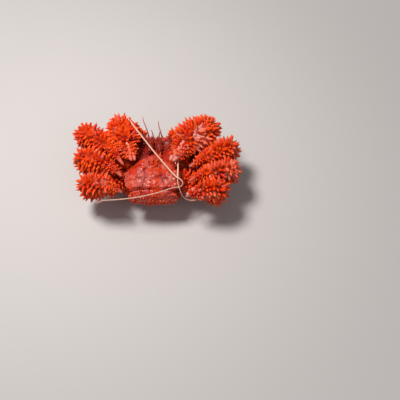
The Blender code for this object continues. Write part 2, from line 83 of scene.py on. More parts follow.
def pick(obj):
    deselectAll()
    obj.select_set(True)
    bpy.context.view_layer.objects.active = obj


def edit(obj):
    pick(obj)
    bpy.ops.object.mode_set(mode="EDIT")
    bpy.ops.mesh.select_all(action="SELECT")


def settle(obj, matrix):
    obj.matrix_world = matrix
    pick(obj)
    bpy.ops.object.transform_apply(location=True, rotation=True, scale=True)


def joinInto(obj, others):
    pick(obj)
    for other in others:
        other.select_set(True)
    if others:
        bpy.ops.object.join()


def applyModifier(obj, kind, **values):
    step = obj.modifiers.new(kind, kind)
    for key, value in values.items():
        setattr(step, key, value)
    pick(obj)
    bpy.ops.object.modifier_apply(modifier=step.name)


def smoothed(obj, levels):
    applyModifier(obj, "SUBSURF", levels=levels, render_levels=levels)


# Low waves all over a piece: their size and height in millimetres
def lumpy(obj, size, height, depth=2):
    cloud = bpy.data.textures.new("lumps", "CLOUDS")
    cloud.noise_scale = size * mm
    cloud.noise_depth = depth
    applyModifier(obj, "DISPLACE", texture=cloud, texture_coords="LOCAL", mid_level=0.5, strength=height * mm)
    bpy.data.textures.remove(cloud)


def vertsOf(obj):
    places = np.empty(len(obj.data.vertices) * 3)
    obj.data.vertices.foreach_get("co", places)
    return places.reshape(-1, 3)


def moveVerts(obj, rule):
    obj.data.vertices.foreach_set("co", rule(vertsOf(obj)).ravel())
    obj.data.update()


# A piece carries three values for its material: rise from the painted shade of the crevices to the spines'
# tips, pale, and the spines' own tint
def paint(obj, **values):
    for name, value in values.items():
        layer = obj.data.attributes.get(name) or obj.data.attributes.new(name, "FLOAT", "POINT")
        layer.data.foreach_set("value", np.full(len(obj.data.vertices), value, np.float32))


def painted(obj, name):
    values = np.zeros(len(obj.data.vertices), np.float32)
    if name in obj.data.attributes:
        obj.data.attributes[name].data.foreach_get("value", values)
    return values


def smoothStep(values, low, high):
    share = np.clip((np.asarray(values, float) - low) / (high - low), 0, 1)
    return share * share * (3 - 2 * share)


# Edit mode leaves points and faces in an order that changes from run to run, and the spines are scattered
# by that order, so a shape's points and faces are put in their order along one slanting line
sortLine = np.array((0.618, 0.557, 0.554))


def steady(obj):
    old = obj.data
    places = vertsOf(obj)
    rank = np.argsort(places @ sortLine, kind="stable")
    number = np.empty(len(rank), int)
    number[rank] = np.arange(len(rank))
    faces = []
    for polygon in old.polygons:
        ring = [int(number[v]) for v in polygon.vertices]
        first = ring.index(min(ring))
        faces.append(ring[first:] + ring[:first])
    values = {key: painted(obj, key)[rank] for key in ("rise", "pale", "tint") if key in old.attributes}
    obj.data = bpy.data.meshes.new(obj.name)
    obj.data.from_pydata(places[rank].tolist(), [], sorted(faces))
    bpy.data.meshes.remove(old)
    paint(obj, **values)


# Ends an edit of a closed shape: faces outwards, points in order
def closeEdit(obj):
    bpy.ops.mesh.select_all(action="SELECT")
    bpy.ops.mesh.normals_make_consistent(inside=False)
    bpy.ops.object.mode_set(mode="OBJECT")
    steady(obj)


def extrudeBy(rise):
    bpy.ops.mesh.extrude_region_move(TRANSFORM_OT_translate={"value": (0, 0, rise)})


# A ring is extruded upwards through its stations (height, half width, half depth) and closed at both poles
def column(name, stations, sides, poles):
    height, wide, deep = stations[0]
    deselectAll()
    bpy.ops.mesh.primitive_circle_add(vertices=sides, radius=1, location=(0, 0, 0), enter_editmode=True)
    obj = bpy.context.object
    obj.name = name
    bpy.ops.transform.resize(value=(wide, deep, 1), center_override=(0, 0, 0))
    bpy.ops.transform.translate(value=(0, 0, height))
    for (lastHeight, lastWide, lastDeep), (height, wide, deep) in zip(stations, stations[1:]):
        extrudeBy(height - lastHeight)
        bpy.ops.transform.resize(value=(wide / lastWide, deep / lastDeep, 1), center_override=(0, 0, height))
    extrudeBy(poles[1] - height)
    bpy.ops.mesh.merge(type="CENTER")
    bm = bmesh.from_edit_mesh(obj.data)
    for v in bm.verts:
        v.select_set(abs(v.co.z - stations[0][0]) < touching)
    bm.select_flush(True)
    bmesh.update_edit_mesh(obj.data)
    extrudeBy(poles[0] - stations[0][0])
    bpy.ops.mesh.merge(type="CENTER")
    closeEdit(obj)
    return obj


# Lays a column along a line, its width level and its depth towards the sky
def layAlong(obj, start, along):
    across = along.cross(up).normalized()
    top = across.cross(along)
    settle(obj, Matrix.Translation(start) @ Matrix((-across, top, along)).transposed().to_4x4())


# Cuts a piece at a plane, closes it and rounds the rim
def cutAt(obj, point, normal, rim=0):
    edit(obj)
    bpy.ops.mesh.bisect(plane_co=point, plane_no=normal, use_fill=True, clear_outer=True)
    if rim:
        bpy.ops.mesh.bevel(offset=rim * mm, segments=3, affect="EDGES")
    bpy.ops.object.mode_set(mode="OBJECT")
    steady(obj)


print("stage: helpers ready")

# One spine and one knob are modelled once, a unit long and a unit wide, and stamped all over
spineForms = {
    "spine": {"sides": 7, "sunk": 0.16,
              "profile": ((0.0, 1.22), (0.12, 0.98), (0.36, 0.77), (0.62, 0.54), (0.85, 0.3), (0.955, 0.16))},
    "knob": {"sides": 9, "sunk": 0.5,
             "profile": ((0.0, 1.0), (0.35, 0.93), (0.68, 0.72), (0.9, 0.42))},
}
rootGirth, rootPole = 1.12, 1.1  # the part below the surface
# How stamped spines differ from each other
spineLooks = {
    "flatness": (0.85, 1.0), "bend": 0.12, "brightness": (0.55, 1.15), "rootRise": 0.02,
    # A share of the spines is paler: partly the spines' own pinkish tone, partly painted highlight on the wet
    # spines
    "paleSpineShare": 0.1, "paleSpinePaleness": (0.1, 0.4), "fading": 0.3,
}


def formOf(kind):
    plan = spineForms[kind]
    stations = [(-plan["sunk"], rootGirth, rootGirth)] + [(h, w, w) for h, w in plan["profile"]]
    obj = column(kind, stations, plan["sides"], (-plan["sunk"] * rootPole, 1))
    verts, faces = vertsOf(obj), [tuple(p.vertices) for p in obj.data.polygons]
    bpy.data.objects.remove(obj, do_unlink=True)
    return verts, faces


forms = {kind: formOf(kind) for kind in spineForms}


# Stamps a form at each place (root, heading, length, radius, paleness), all in metres
def stamp(name, kind, places, dice):
    looks = spineLooks
    verts, faces = forms[kind]
    height = np.clip(verts[:, 2], looks["rootRise"], 1)
    allVerts, allFaces, rise, pale, tint = [], [], [], [], []
    for root, heading, length, radius, paleness in places:
        across = Matrix.Rotation(dice.uniform(0, math.tau), 3, heading) @ heading.orthogonal().normalized()
        top = heading.cross(across)
        axes = np.array((across * radius, top * radius * dice.uniform(*looks["flatness"]), heading * length))
        shaped = verts.copy()
        shaped[:, 0] += dice.gauss(0, looks["bend"]) * np.clip(shaped[:, 2], 0, 1) ** 2
        base = len(allVerts) * len(verts)
        allFaces += [tuple(base + i for i in face) for face in faces]
        allVerts.append(shaped @ axes + np.array(root))
        # Each spine darkens towards its root, painted shade between the spines
        rise.append(height * dice.uniform(*looks["brightness"]))
        tint.append(height * dice.random() ** 2)
        # Paler spines: partly own pinkish tone, partly painted highlight
        paleSpine = dice.uniform(*looks["paleSpinePaleness"]) if dice.random() < looks["paleSpineShare"] else 0
        pale.append(np.clip(max(paleness, paleSpine * (kind == "spine")) * (1 - looks["fading"] * height), 0, 1))
    mesh = bpy.data.meshes.new(name)
    mesh.from_pydata(np.concatenate(allVerts).tolist(), [], allFaces)
    obj = bpy.data.objects.new(name, mesh)
    bpy.context.scene.collection.objects.link(obj)
    paint(obj, rise=np.concatenate(rise), pale=np.concatenate(pale), tint=np.concatenate(tint))
    return obj


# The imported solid's own spines (tip, heading, half angle), found as sharp corners where a few edges meet
def packedSpines(node, sharpness):
    bm = bmesh.new()
    bm.from_mesh(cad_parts[node].data)
    bmesh.ops.remove_doubles(bm, verts=bm.verts, dist=touching)
    found, line = [], Vector(sortLine)
    for v in bm.verts:
        edges = sorted((e.other_vert(v).co - v.co for e in v.link_edges), key=lambda edge: edge @ line)
        if 4 <= len(edges) <= 7:
            mean = sum((edge.normalized() for edge in edges), Vector()) / len(edges)
            if mean.length > sharpness:
                found.append((v.co.copy(), -mean.normalized(), math.acos(min(mean.length, 0.999))))
    bm.free()
    return sorted(found, key=lambda spine: spine[0] @ line)


def treeOf(obj):
    bm = bmesh.new()
    bm.from_mesh(obj.data)
    tree = BVHTree.FromBMesh(bm)
    bm.free()
    return tree


# Random points spread evenly over a piece, with their outward directions
class Skin:
    def __init__(self, obj):
        places = vertsOf(obj)
        self.corners = np.array([places[[p.vertices[0], p.vertices[i], p.vertices[i + 1]]]
                                 for p in obj.data.polygons for i in range(1, len(p.vertices) - 1)])
        normals = np.cross(self.corners[:, 1] - self.corners[:, 0], self.corners[:, 2] - self.corners[:, 0])
        sizes = np.linalg.norm(normals, axis=1)
        self.normals = normals / np.maximum(sizes, 1e-12)[:, None]
        self.ends = np.cumsum(sizes)

    def point(self, dice):
        i = int(np.searchsorted(self.ends, dice.random() * self.ends[-1]))
        u, v = sorted((dice.random(), dice.random()))
        a, b, c = self.corners[i]
        return Vector(a * u + b * (v - u) + c * (1 - v)), Vector(self.normals[i])


print("stage: spine forms ready")

# Legs and claws. Girths are half widths and half depths at the start, the thickest place and the end
limbs = {
    "legPieces": ("base", "merus", "carpus", "propodus", "dactylus"),
    "legGirth": {
        "base": ((10.5, 10), (11.5, 10.5), (12, 11)),
        "merus": ((12, 11), (14.5, 12.5), (13.5, 12)),
        "carpus": ((13, 12), (14.5, 13), (14, 12.5)),
        "propodus": ((14, 11.5), (15, 11.5), (11, 9)),
        "dactylus": ((9.5, 8), (6.8, 5.8), (1.7, 1.6)),
    },
    "clawPieces": ("base", "merus", "carpus", "palm"),
    "clawGirth": {
        "base": ((10, 10), (11, 10.5), (11.5, 10.5)),
        "merus": ((11.5, 11), (13.5, 12.5), (14, 12.5)),
        "carpus": ((13.5, 12.5), (17, 14), (17.5, 13.5)),
        "palm": ((18, 12), (23.5, 14), (18, 11)),
    },
    "clawSize": {"claw_right": 1.05, "claw_left": 1.25},
    "joints": {
        "leg_right_1": ((-30, 26, 57), (-50, 34, 57), (-124, 57, 52), (-122, 54, 80), (-80, 23, 88),
                        (-51, -14, 84)),
        "leg_right_2": ((-32, 4, 57), (-53, 4, 57), (-121, 7, 50), (-119, 4, 78), (-79, -14, 87),
                        (-53, -36, 83)),
        "leg_right_3": ((-30, -18, 57), (-50, -27, 57), (-107, -46, 50), (-107, -47, 78), (-75, -56, 86),
                        (-51, -65, 79)),
        "leg_left_1": ((30, 26, 57), (50, 29, 57), (129, 28, 52), (128, 24, 80), (91, 1, 87),
                       (62, -16, 81)),
        "leg_left_2": ((32, 4, 57), (53, 1, 57), (130, -14, 50), (130, -17, 78), (90, -31, 86),
                       (62, -43, 80)),
        "leg_left_3": ((30, -18, 57), (49, -26, 57), (108, -54, 50), (109, -57, 77), (79, -65, 84),
                       (56, -72, 77)),
        "claw_right": ((-19, 42, 57), (-29, 57, 57), (-60, 80, 55), (-60, 65, 84), (-47, 24, 93),
                       (-34, -8, 88)),
        "claw_left": ((19, 42, 57), (31, 55, 57), (88, 76, 56), (87, 58, 86), (54, 24, 97),
                      (31, -10, 90)),
    },
    "sides": 16, "gap": 0.3, "rim": 0.9, "lumps": (5, 1.4), "waist": 0.06, "waistReach": 0.1,
    "thickestAt": 0.4, "stations": (0, 0.12, 0.28, 0.45, 0.62, 0.78, 0.9, 1), "capAngles": (30, 55, 75),
    "tipBow": 2.2, "tipRise": 0.12,
    # The shell is paler in a ring beside each joint: how pale, and where that fades
    "rimPaleness": 0.15, "rimFade": (0.3, 3.5),
    # Last leg pieces and fingers grow paler to their tips: from which share of the length, and how much
    "tipPaleness": {"dactylus": (0.5, 0.6), "finger": (0.25, 0.8)},
}
# Both fingers meet along the claw's axis
fingers = {
    "girth": ((8.5, 8), (6.6, 6), (2, 1.9)), "spread": 7.4, "tipSpread": 2.6, "lumps": (4, 0.8),
    # Each finger: ending, side, start and shortening along the axis, shift of its teeth
    "pair": (("_fixed", -1, -8, 0, 0), ("_finger", 1, 6, 1.5, 1)),
    # Places of the teeth: tenths of the axis and height above it
    "teeth": ((0.6, 5.2), (2.2, 4.6), (3.8, 3.8), (5.4, 2.8), (7.2, 1.6)),
    "toothAside": 0.8, "toothLean": 1.4, "toothHeight": 3.0, "toothGirth": (3.2, 0.2),
}


def barrel(name, start, end, girth, pointed, waist=0, bow=0):
    length = (end - start).length / mm
    first, last = girth[0][0], girth[2][0]
    caps = [(math.cos(math.radians(angle)), math.sin(math.radians(angle))) for angle in limbs["capAngles"]]
    stations = [(-first * reach, first * size, girth[0][1] * size) for reach, size in caps]
    for share in limbs["stations"]:
        wide, deep = (float(np.interp(share, (0, limbs["thickestAt"], 1), row)) for row in zip(*girth))
        pinch = 1 - waist * math.exp(-(min(share, 1 - share) / limbs["waistReach"]) ** 2)
        stations.append((share * length, wide * pinch, deep * pinch))
    if not pointed:
        stations += [(length + last * reach, last * size, girth[2][1] * size)
                     for reach, size in reversed(caps)]
    obj = column(name, [(h * mm, w * mm, d * mm) for h, w, d in stations], limbs["sides"],
                 (-first * mm, (length + last) * mm))
    smoothed(obj, 1)
    if bow:
        moveVerts(obj, lambda places: places + np.outer(
            np.sin(np.clip(places[:, 2] / (length * mm), 0, 1) * math.pi) * bow * mm, (0, 1, 0)))
    layAlong(obj, start, (end - start).normalized())
    return obj


def jointNormal(points, j):
    before = (points[j] - points[j - 1]).normalized()
    after = (points[j + 1] - points[j]).normalized()
    return (before + after).normalized()


def limbPiece(name, points, i, girth, last):
    obj = barrel(name, points[i], points[i + 1], girth, last, limbs["waist"], limbs["tipBow"] if last else 0)
    lumpy(obj, *limbs["lumps"])
    rims, gap = [], limbs["gap"] * mm / 2
    for j, side, jointed in ((i, -1, i > 0), (i + 1, 1, not last)):
        if jointed:
            normal = jointNormal(points, j)
            cutAt(obj, points[j] - normal * (side * gap), normal * side, limbs["rim"])
            rims.append((points[j], normal))
    plans = toPlans(vertsOf(obj))
    pale = np.zeros(len(plans))
    for point, normal in rims:
        away = np.abs((plans - np.array(toPlan(point))) @ np.array(normal))
        pale = np.maximum(pale, 1 - smoothStep(away, *limbs["rimFade"]))
    # Rise 0 gives the piece's surface between the spines the crevices' painted shade
    paint(obj, pale=pale * limbs["rimPaleness"], rise=0)
    return obj


def paleTip(obj, start, end, kind):
    begins, most = limbs["tipPaleness"][kind]
    line = np.array(toPlan(end) - toPlan(start))
    share = (toPlans(vertsOf(obj)) - np.array(toPlan(start))) @ line / (line @ line)
    pale = smoothStep(share, begins, 1.05) * most
    paint(obj, pale=np.maximum(painted(obj, "pale"), pale), rise=limbs["tipRise"])


# cores holds every piece without its spines, axes the line that a limb's spines lean along
cores, axes, toothRows = {}, {}, {}


def makeFingers(limb, root, tip):
    size, plan = limbs["clawSize"][limb], fingers
    along = (tip - root).normalized()
    across = along.cross(up).normalized() * (1 if limb == "claw_right" else -1)
    girth = [(w * size, h * size) for w, h in plan["girth"]]
    for ending, side, begins, shorter, firstTooth in plan["pair"]:
        name, aside = limb + ending, across * side
        start = root + aside * plan["spread"] * size * mm + along * (begins * mm)
        end = tip + aside * (plan["tipSpread"] * mm) - along * (shorter * mm)
        obj = barrel(name, start, end, girth, True)
        cutAt(obj, root + aside * limbs["gap"] * mm / 2, -aside)
        lumpy(obj, *plan["lumps"])
        cores[name], axes[name] = obj, (root, tip)
        paleTip(obj, root, tip, "finger")
        widest, taper = plan["toothGirth"]
        toothRows[name] = []
        for place, height in plan["teeth"]:
            share = place + firstTooth
            toothRows[name].append((
                root.lerp(tip, share / 10) + (aside * plan["toothAside"] + up * height) * mm,
                (up * plan["toothLean"] - aside).normalized(), plan["toothHeight"] * size * mm,
                (widest - share * taper) * size * mm, 1.0))


for limb, joints in limbs["joints"].items():
    points = [at(p) for p in joints]
    family = limb.split("_")[0]
    for i, piece in enumerate(limbs[family + "Pieces"]):
        size = 1.0 if piece == "base" else limbs["clawSize"].get(limb, 1.0)
        girth = [(w * size, h * size) for w, h in limbs[family + "Girth"][piece]]
        name, last = limb + "_" + piece, piece == "dactylus"
        cores[name] = limbPiece(name, points, i, girth, last)
        axes[name] = (points[i], points[i + 1])
        if last:
            paleTip(cores[name], points[i], points[i + 1], piece)
    if family == "claw":
        makeFingers(limb, points[4], points[5])
print("stage: legs and claws shaped")

# The back, seen from below: the lower half of a ball, drawn out to the carapace's outline
carapacePlan = {
    "segments": 96, "rings": 60, "plateInset": 0.08, "lumps": (6, 1.2),
    "halfWidth": 63, "halfLength": 60, "frontNarrowing": 0.2, "rostrumReach": 7, "rostrumSpread": 16,
    "rimHeight": 40, "domeDepth": 28, "flatness": 0.9, "rimPaleness": 0.3, "rimFade": (37, 40),
    # Swellings over the stomach, the heart and the gills: place, spread and height
    "regions": ((0, 22, 20, 4.0), (0, -22, 13, 3.0), (31, -16, 20, 3.5), (-31, -16, 20, 3.5)),
    # The spines that it stands on
    "feet": ((0, 42), (-24, 30), (24, 30), (-10, 12), (10, 12), (-40, 2), (40, 2), (-10, -17), (10, -17),
             (-34, -27), (34, -27), (0, -42)),
    "footRadius": 4.2, "footStoutness": 0.18, "footShare": 0.66, "footLean": 0.004,
}


def swelling(x, y, hills):
    return sum(high * np.exp(-((x - hx) ** 2 + (y - hy) ** 2) / spread ** 2)
               for hx, hy, spread, high in hills)


def carapaceShape(places):
    plan = carapacePlan
    down = np.clip(-places[:, 2], 0, 1)
    out = np.hypot(places[:, 0], places[:, 1])
    angle = np.arctan2(places[:, 1], places[:, 0])
    front = np.maximum(0, np.sin(angle)) ** 1.5
    offMiddle = np.degrees(np.abs(np.arctan2(places[:, 0], places[:, 1])))
    x = plan["halfWidth"] * np.cos(angle) * (1 - plan["frontNarrowing"] * front) * out
    y = (plan["halfLength"] * np.sin(angle)
         + plan["rostrumReach"] * np.exp(-(offMiddle / plan["rostrumSpread"]) ** 2)) * out
    dome = plan["domeDepth"] * down ** plan["flatness"]
    z = plan["rimHeight"] - dome - swelling(x, y, plan["regions"]) * down
    return fromPlans(np.column_stack((x, y, z)))


def carapaceCore():
    plan = carapacePlan
    deselectAll()
    bpy.ops.mesh.primitive_uv_sphere_add(segments=plan["segments"], ring_count=plan["rings"], radius=1,
                                         enter_editmode=True)
    obj = bpy.context.object
    obj.name = "carapace"
    bpy.ops.mesh.bisect(plane_co=(0, 0, 0), plane_no=(0, 0, 1), use_fill=True, clear_outer=True)
    inner = 1 - plan["plateInset"] / math.cos(math.pi / plan["segments"])
    bpy.ops.mesh.extrude_region_move()
    bpy.ops.transform.resize(value=(inner, inner, 1), center_override=(0, 0, 0))
    bpy.ops.object.mode_set(mode="OBJECT")
    steady(obj)
    moveVerts(obj, carapaceShape)
    lumpy(obj, *plan["lumps"])
    # Rise 0 gives the carapace's surface between the spines the crevices' painted shade
    paint(obj, pale=plan["rimPaleness"] * smoothStep(toPlans(vertsOf(obj))[:, 2], *plan["rimFade"]), rise=0)
    return obj


cores["carapace"] = carapaceCore()

# The sternum, where the legs are rooted, furrowed between them
thoraxPlan = {
    # Height, half width and half depth
    "levels": ((40.3, 53, 50), (42.8, 54, 51), (44.8, 51, 50), (49, 43, 49), (56, 40, 48.5), (65, 38, 47),
               (69, 32, 41)),
    "sides": 40, "poles": (40.3, 69), "topFade": (58, 66), "lumps": (9, 1.6), "pale": 0.05, "rise": 0.08,
    "furrows": (-30, -7, 15, 36), "furrowDepth": 1.6, "furrowWidth": 2.2, "furrowSlant": 0.12,
    "midlineDepth": 1.2, "midlineWidth": 2.5,
}


def thoraxShape(places):
    x, y, z = toPlans(places).T
    high = smoothStep(z, *thoraxPlan["topFade"])
    for furrow in thoraxPlan["furrows"]:
        dip = np.exp(-((y - furrow - thoraxPlan["furrowSlant"] * np.abs(x)) / thoraxPlan["furrowWidth"]) ** 2)
        z = z - thoraxPlan["furrowDepth"] * dip * high
    z = z - thoraxPlan["midlineDepth"] * np.exp(-(x / thoraxPlan["midlineWidth"]) ** 2) * high
    return fromPlans(np.column_stack((x, y, z)))


def thoraxCore():
    plan = thoraxPlan
    stations = [(z * mm, w * mm, d * mm) for z, w, d in plan["levels"]]
    obj = column("thorax", stations, plan["sides"], [z * mm for z in plan["poles"]])
    settle(obj, Matrix.Translation(planOrigin))
    smoothed(obj, 2)
    moveVerts(obj, thoraxShape)
    lumpy(obj, *plan["lumps"])
    paint(obj, pale=plan["pale"], rise=plan["rise"])
    return obj


cores["thorax"] = thoraxCore()
print("stage: carapace and sternum shaped")

# The broad abdomen, folded up from the back edge and forward over the belly
flapPlan = {
    "floor": 69.4, "sides": 56, "rings": 25,
    # Stations: y, half width and half depth, then both poles
    "stations": ((-62, 38, 5.5), (-56, 41.5, 6.5), (-48, 44, 7.2), (-38, 45, 7.8), (-28, 43, 8),
                 (-18, 38, 7.8), (-9, 31, 7.2), (-1, 22, 6.2), (6, 13, 5), (11, 6, 3.2)),
    "poles": ((-66, 5), (15, 3)),
    "topFade": (7, 11), "wideLumps": (16, 3.0, 1), "lumps": (5, 1.2), "rise": 0.24,
    "domes": ((-22, -14, 13, 3), (20, -16, 12, 2), (-27, -46, 14, 3), (25, -44, 13, 2.5), (0, -32, 12, 1.5)),
    # Middles of the plates, set in rows from the hinge to the tip
    "plates": ((-28, -54), (-27, -31), (-19, -10), (0, -50), (3, -29), (3, -8), (27, -54), (29, -33),
               (23, -13)),
    "seamDepth": 1.1, "seamWidth": 7, "plateRise": 1.8, "plateSpread": 12, "plateLength": 1.15,
    # The seams' waves in x and y: size, length and start of each
    "waves": (((2.6, 5.1, 0.8), (1.2, 2.3, 0)), ((2.8, 6.3, 2.0), (1.1, 2.7, 1))),
    # Round pale tubercles: place, radius and height
    "tubercles": ((-23, -29, 3.4, 1.9), (-5, -41, 3.8, 2.2), (5, -31, 3.2, 2.0), (-16, -4, 3.0, 1.6),
                  (-30, -50, 3.0, 1.4), (14, -50, 2.8, 1.5), (26, -32, 3.2, 2.2), (31, -44, 2.8, 2.0),
                  (20, -22, 2.8, 1.6), (-37, -36, 2.6, 1.4), (8, -15, 2.8, 1.7), (-6, -20, 2.4, 1.3),
                  (-12, -52, 2.6, 1.5), (-14, -18, 2.4, 1.3)),
    # Rings round a tubercle, in its radii: the pale one and the dip outside it (place, width and strength)
    "paleRing": (0.85, 0.32, 0.9), "dipRing": (1.35, 0.3, 0.6), "tubercleRoundness": 0.6,
    # Paler areas: place, spread and paleness
    "paleAreas": ((-16, -40, 15, 0.34), (31, -42, 9, 0.62), (-8, -10, 9, 0.30), (24, -14, 7, 0.30),
                  (-33, -50, 7, 0.3)),
    "seamDarkness": 0.8,
    "edge": (20, 38), "scallop": 1.5, "scallopLength": 3.6, "scallopShift": 4,
    "hinge": (0, -60, 74.4), "hingeNormal": (0, 1, -0.35), "hingeGap": 0.15,
}


def flapRelief(places):
    plan = flapPlan
    x, y, z = toPlans(places).T
    high = smoothStep(z, *(plan["floor"] + height for height in plan["topFade"]))
    centres = np.array(plan["plates"], float)
    wavyX, wavyY = (sum((size * np.sin(other / length + start) for size, length, start in waves), line)
                    for line, other, waves in zip((x, y), (y, x), plan["waves"]))
    gaps = np.hypot(wavyX[:, None] - centres[:, 0], (wavyY[:, None] - centres[:, 1]) * plan["plateLength"])
    gaps.sort(axis=1)
    seam = 1 - smoothStep(gaps[:, 1] - gaps[:, 0], 0, plan["seamWidth"])
    rise = swelling(x, y, plan["domes"]) - plan["seamDepth"] * seam
    rise += plan["plateRise"] * np.exp(-(gaps[:, 0] / plan["plateSpread"]) ** 2)
    knobs, rings = np.zeros(len(x)), np.zeros(len(x))
    (ringAt, ringWidth, ringPaleness), (dipAt, dipWidth, dipDepth) = plan["paleRing"], plan["dipRing"]
    for kx, ky, radius, height in plan["tubercles"]:
        away = np.hypot(x - kx, y - ky) / radius
        knobs = np.maximum(knobs, np.clip(1 - away ** 2, 0, 1) ** plan["tubercleRoundness"] * height)
        rings = np.maximum(rings, np.exp(-((away - ringAt) / ringWidth) ** 2))
        rise -= dipDepth * np.exp(-((away - dipAt) / dipWidth) ** 2)
    side = np.sign(x)
    scallops = np.cos((y + plan["scallopShift"] * side) / plan["scallopLength"])
    x = x + side * smoothStep(np.abs(x), *plan["edge"]) * plan["scallop"] * scallops
    soft = swelling(x, y, plan["paleAreas"]) * (1 - plan["seamDarkness"] * seam)
    places = fromPlans(np.column_stack((x, y, z + (rise + knobs) * high)))
    return places, np.maximum(rings * ringPaleness * high, soft), seam


def flapCore():
    plan = flapPlan
    rows = np.array(plan["stations"], float)
    lengths = np.linspace(rows[0, 0], rows[-1, 0], plan["rings"])
    stations = [(y * mm, w * mm, d * mm) for y, w, d in zip(
        lengths, np.interp(lengths, rows[:, 0], rows[:, 1]), np.interp(lengths, rows[:, 0], rows[:, 2]))]
    (backY, backDepth), (tipY, tipDepth) = plan["poles"]
    obj = column("abdomen_flap", stations, plan["sides"], (backY * mm, tipY * mm))
    layAlong(obj, planOrigin.copy(), Vector((0, 1, 0)))

    def lift(places):  # every ring rests on the belly
        depth = np.interp((places[:, 1] - planOrigin.y) / mm, [backY, *rows[:, 0], tipY],
                          [backDepth, *rows[:, 2], tipDepth])
        return places + np.outer((plan["floor"] + depth) * mm, (0, 0, 1))

    moveVerts(obj, lift)
    smoothed(obj, 2)
    places, pale, seam = flapRelief(vertsOf(obj))
    moveVerts(obj, lambda _: places)
    lumpy(obj, *plan["wideLumps"])
    lumpy(obj, *plan["lumps"])
    # In the seams the rise falls to 0, so the creases between the plates take the crevices' painted shade
    paint(obj, pale=pale, rise=plan["rise"] * (1 - seam))
    normal = Vector(plan["hingeNormal"]).normalized()
    cutAt(obj, at(plan["hinge"]) + normal * (plan["hingeGap"] * mm), -normal)
    return obj


# The abdomen's base is a straight column, bent over the crab's back edge: y, z, half width and half depth
basePlan = {
    "rows": ((-48, 44.8, 32, 3), (-58, 45.6, 36, 3.5), (-65, 49, 38, 4), (-69.5, 57, 40, 4.2),
             (-68.4, 65, 40, 4.6), (-65, 71, 39.5, 4.9), (-60.3, 74, 38.5, 5)),
    "sides": 48, "step": 10, "poles": (-2, 60.01), "outerFade": (0, 3), "pale": 0.1,
    "grooves": (2.3, 4.4), "grooveDepth": 1.5, "grooveWidth": 0.12, "grooveBow": 0.0002,
    "furrows": (-17, 15), "furrowDepth": 1.1, "furrowWidth": 2.2,
    "wideLumps": (16, 2.6, 1), "lumps": (4, 1.2),
}


def bendUp(places):
    plan = basePlan
    line = np.array([Vector((0, y, z)) for y, z, _, _ in plan["rows"]])
    x, deep, along = places[:, 0] / mm, places[:, 1], places[:, 2] / mm / plan["step"]
    outer = smoothStep(deep / mm, *plan["outerFade"])
    for groove in plan["grooves"]:
        off = (along - groove - plan["grooveBow"] * x ** 2) / plan["grooveWidth"]
        deep = deep - plan["grooveDepth"] * mm * outer * np.exp(-off ** 2)
    for furrow in plan["furrows"]:
        deep = deep - plan["furrowDepth"] * mm * outer * np.exp(-((x - furrow) / plan["furrowWidth"]) ** 2)
    share = np.clip(along, 0, len(line) - 1)
    low = np.minimum(share.astype(int), len(line) - 2)
    part = (share - low)[:, None]
    slopes = np.gradient(line, axis=0)
    slopes[-1] = np.array(flapPlan["hingeNormal"]) * np.linalg.norm(slopes[-1])
    middle, heading = (values[low] * (1 - part) + values[low + 1] * part for values in (line, slopes))
    heading /= np.linalg.norm(heading, axis=1)[:, None]
    top = np.cross(np.array((1, 0, 0)), heading)
    beyond = (along - share) * plan["step"]
    return fromPlans(middle + np.outer(x, (1, 0, 0)) + top * (deep / mm)[:, None] + heading * beyond[:, None])


def baseCore():
    plan = basePlan
    stations = [(i * plan["step"] * mm, w * mm, h * mm) for i, (_, _, w, h) in enumerate(plan["rows"])]
    obj = column("abdomen_base", stations, plan["sides"], [pole * mm for pole in plan["poles"]])
    moveVerts(obj, bendUp)
    edit(obj)
    closeEdit(obj)
    smoothed(obj, 2)
    lumpy(obj, *plan["wideLumps"])
    lumpy(obj, *plan["lumps"])
    paint(obj, pale=plan["pale"], rise=0)
    return obj


cores["abdomen_flap"] = flapCore()
cores["abdomen_base"] = baseCore()
print("stage: abdomen shaped")

# The outer mouthparts, jointed like small legs
mouthPlan = {
    "line": ((9, 17, 71.5), (8.8, 25, 74.5), (8, 34.5, 75), (7, 43, 72), (5.6, 51.5, 63.5), (5, 57, 55.5)),
    "girth": (3.4, 5.6, 5.9, 5.4, 4.4, 2.6), "pale": 0.04, "rise": 0.1,
    # Width and depth of each link at its start, thickest place and end, as shares of the girth
    "start": (0.8, 0.74), "bulge": 1.08, "bulgeDepth": 0.92, "end": (0.72, 0.68),
}
bothSides = (("right", -1), ("left", 1))


def mirrored(line, flip):
    return [(x * flip, y, z) for x, y, z in line]


for side, flip in bothSides:
    line = [at(place) for place in mirrored(mouthPlan["line"], flip)]
    links = []
    for i, (start, end) in enumerate(zip(line, line[1:])):
        thick, thin = mouthPlan["girth"][i:i + 2]
        belly = (thick + thin) / 2 * mouthPlan["bulge"]
        girth = ([thick * share for share in mouthPlan["start"]], (belly, belly * mouthPlan["bulgeDepth"]),
                 [thin * share for share in mouthPlan["end"]])
        links.append(barrel("link", start, end, girth, False))
        paint(links[-1], pale=mouthPlan["pale"], rise=mouthPlan["rise"])
    joinInto(links[0], links[1:])
    cores["mouthpart_" + side] = links[0]
    axes["mouthpart_" + side] = (line[0], line[-1])

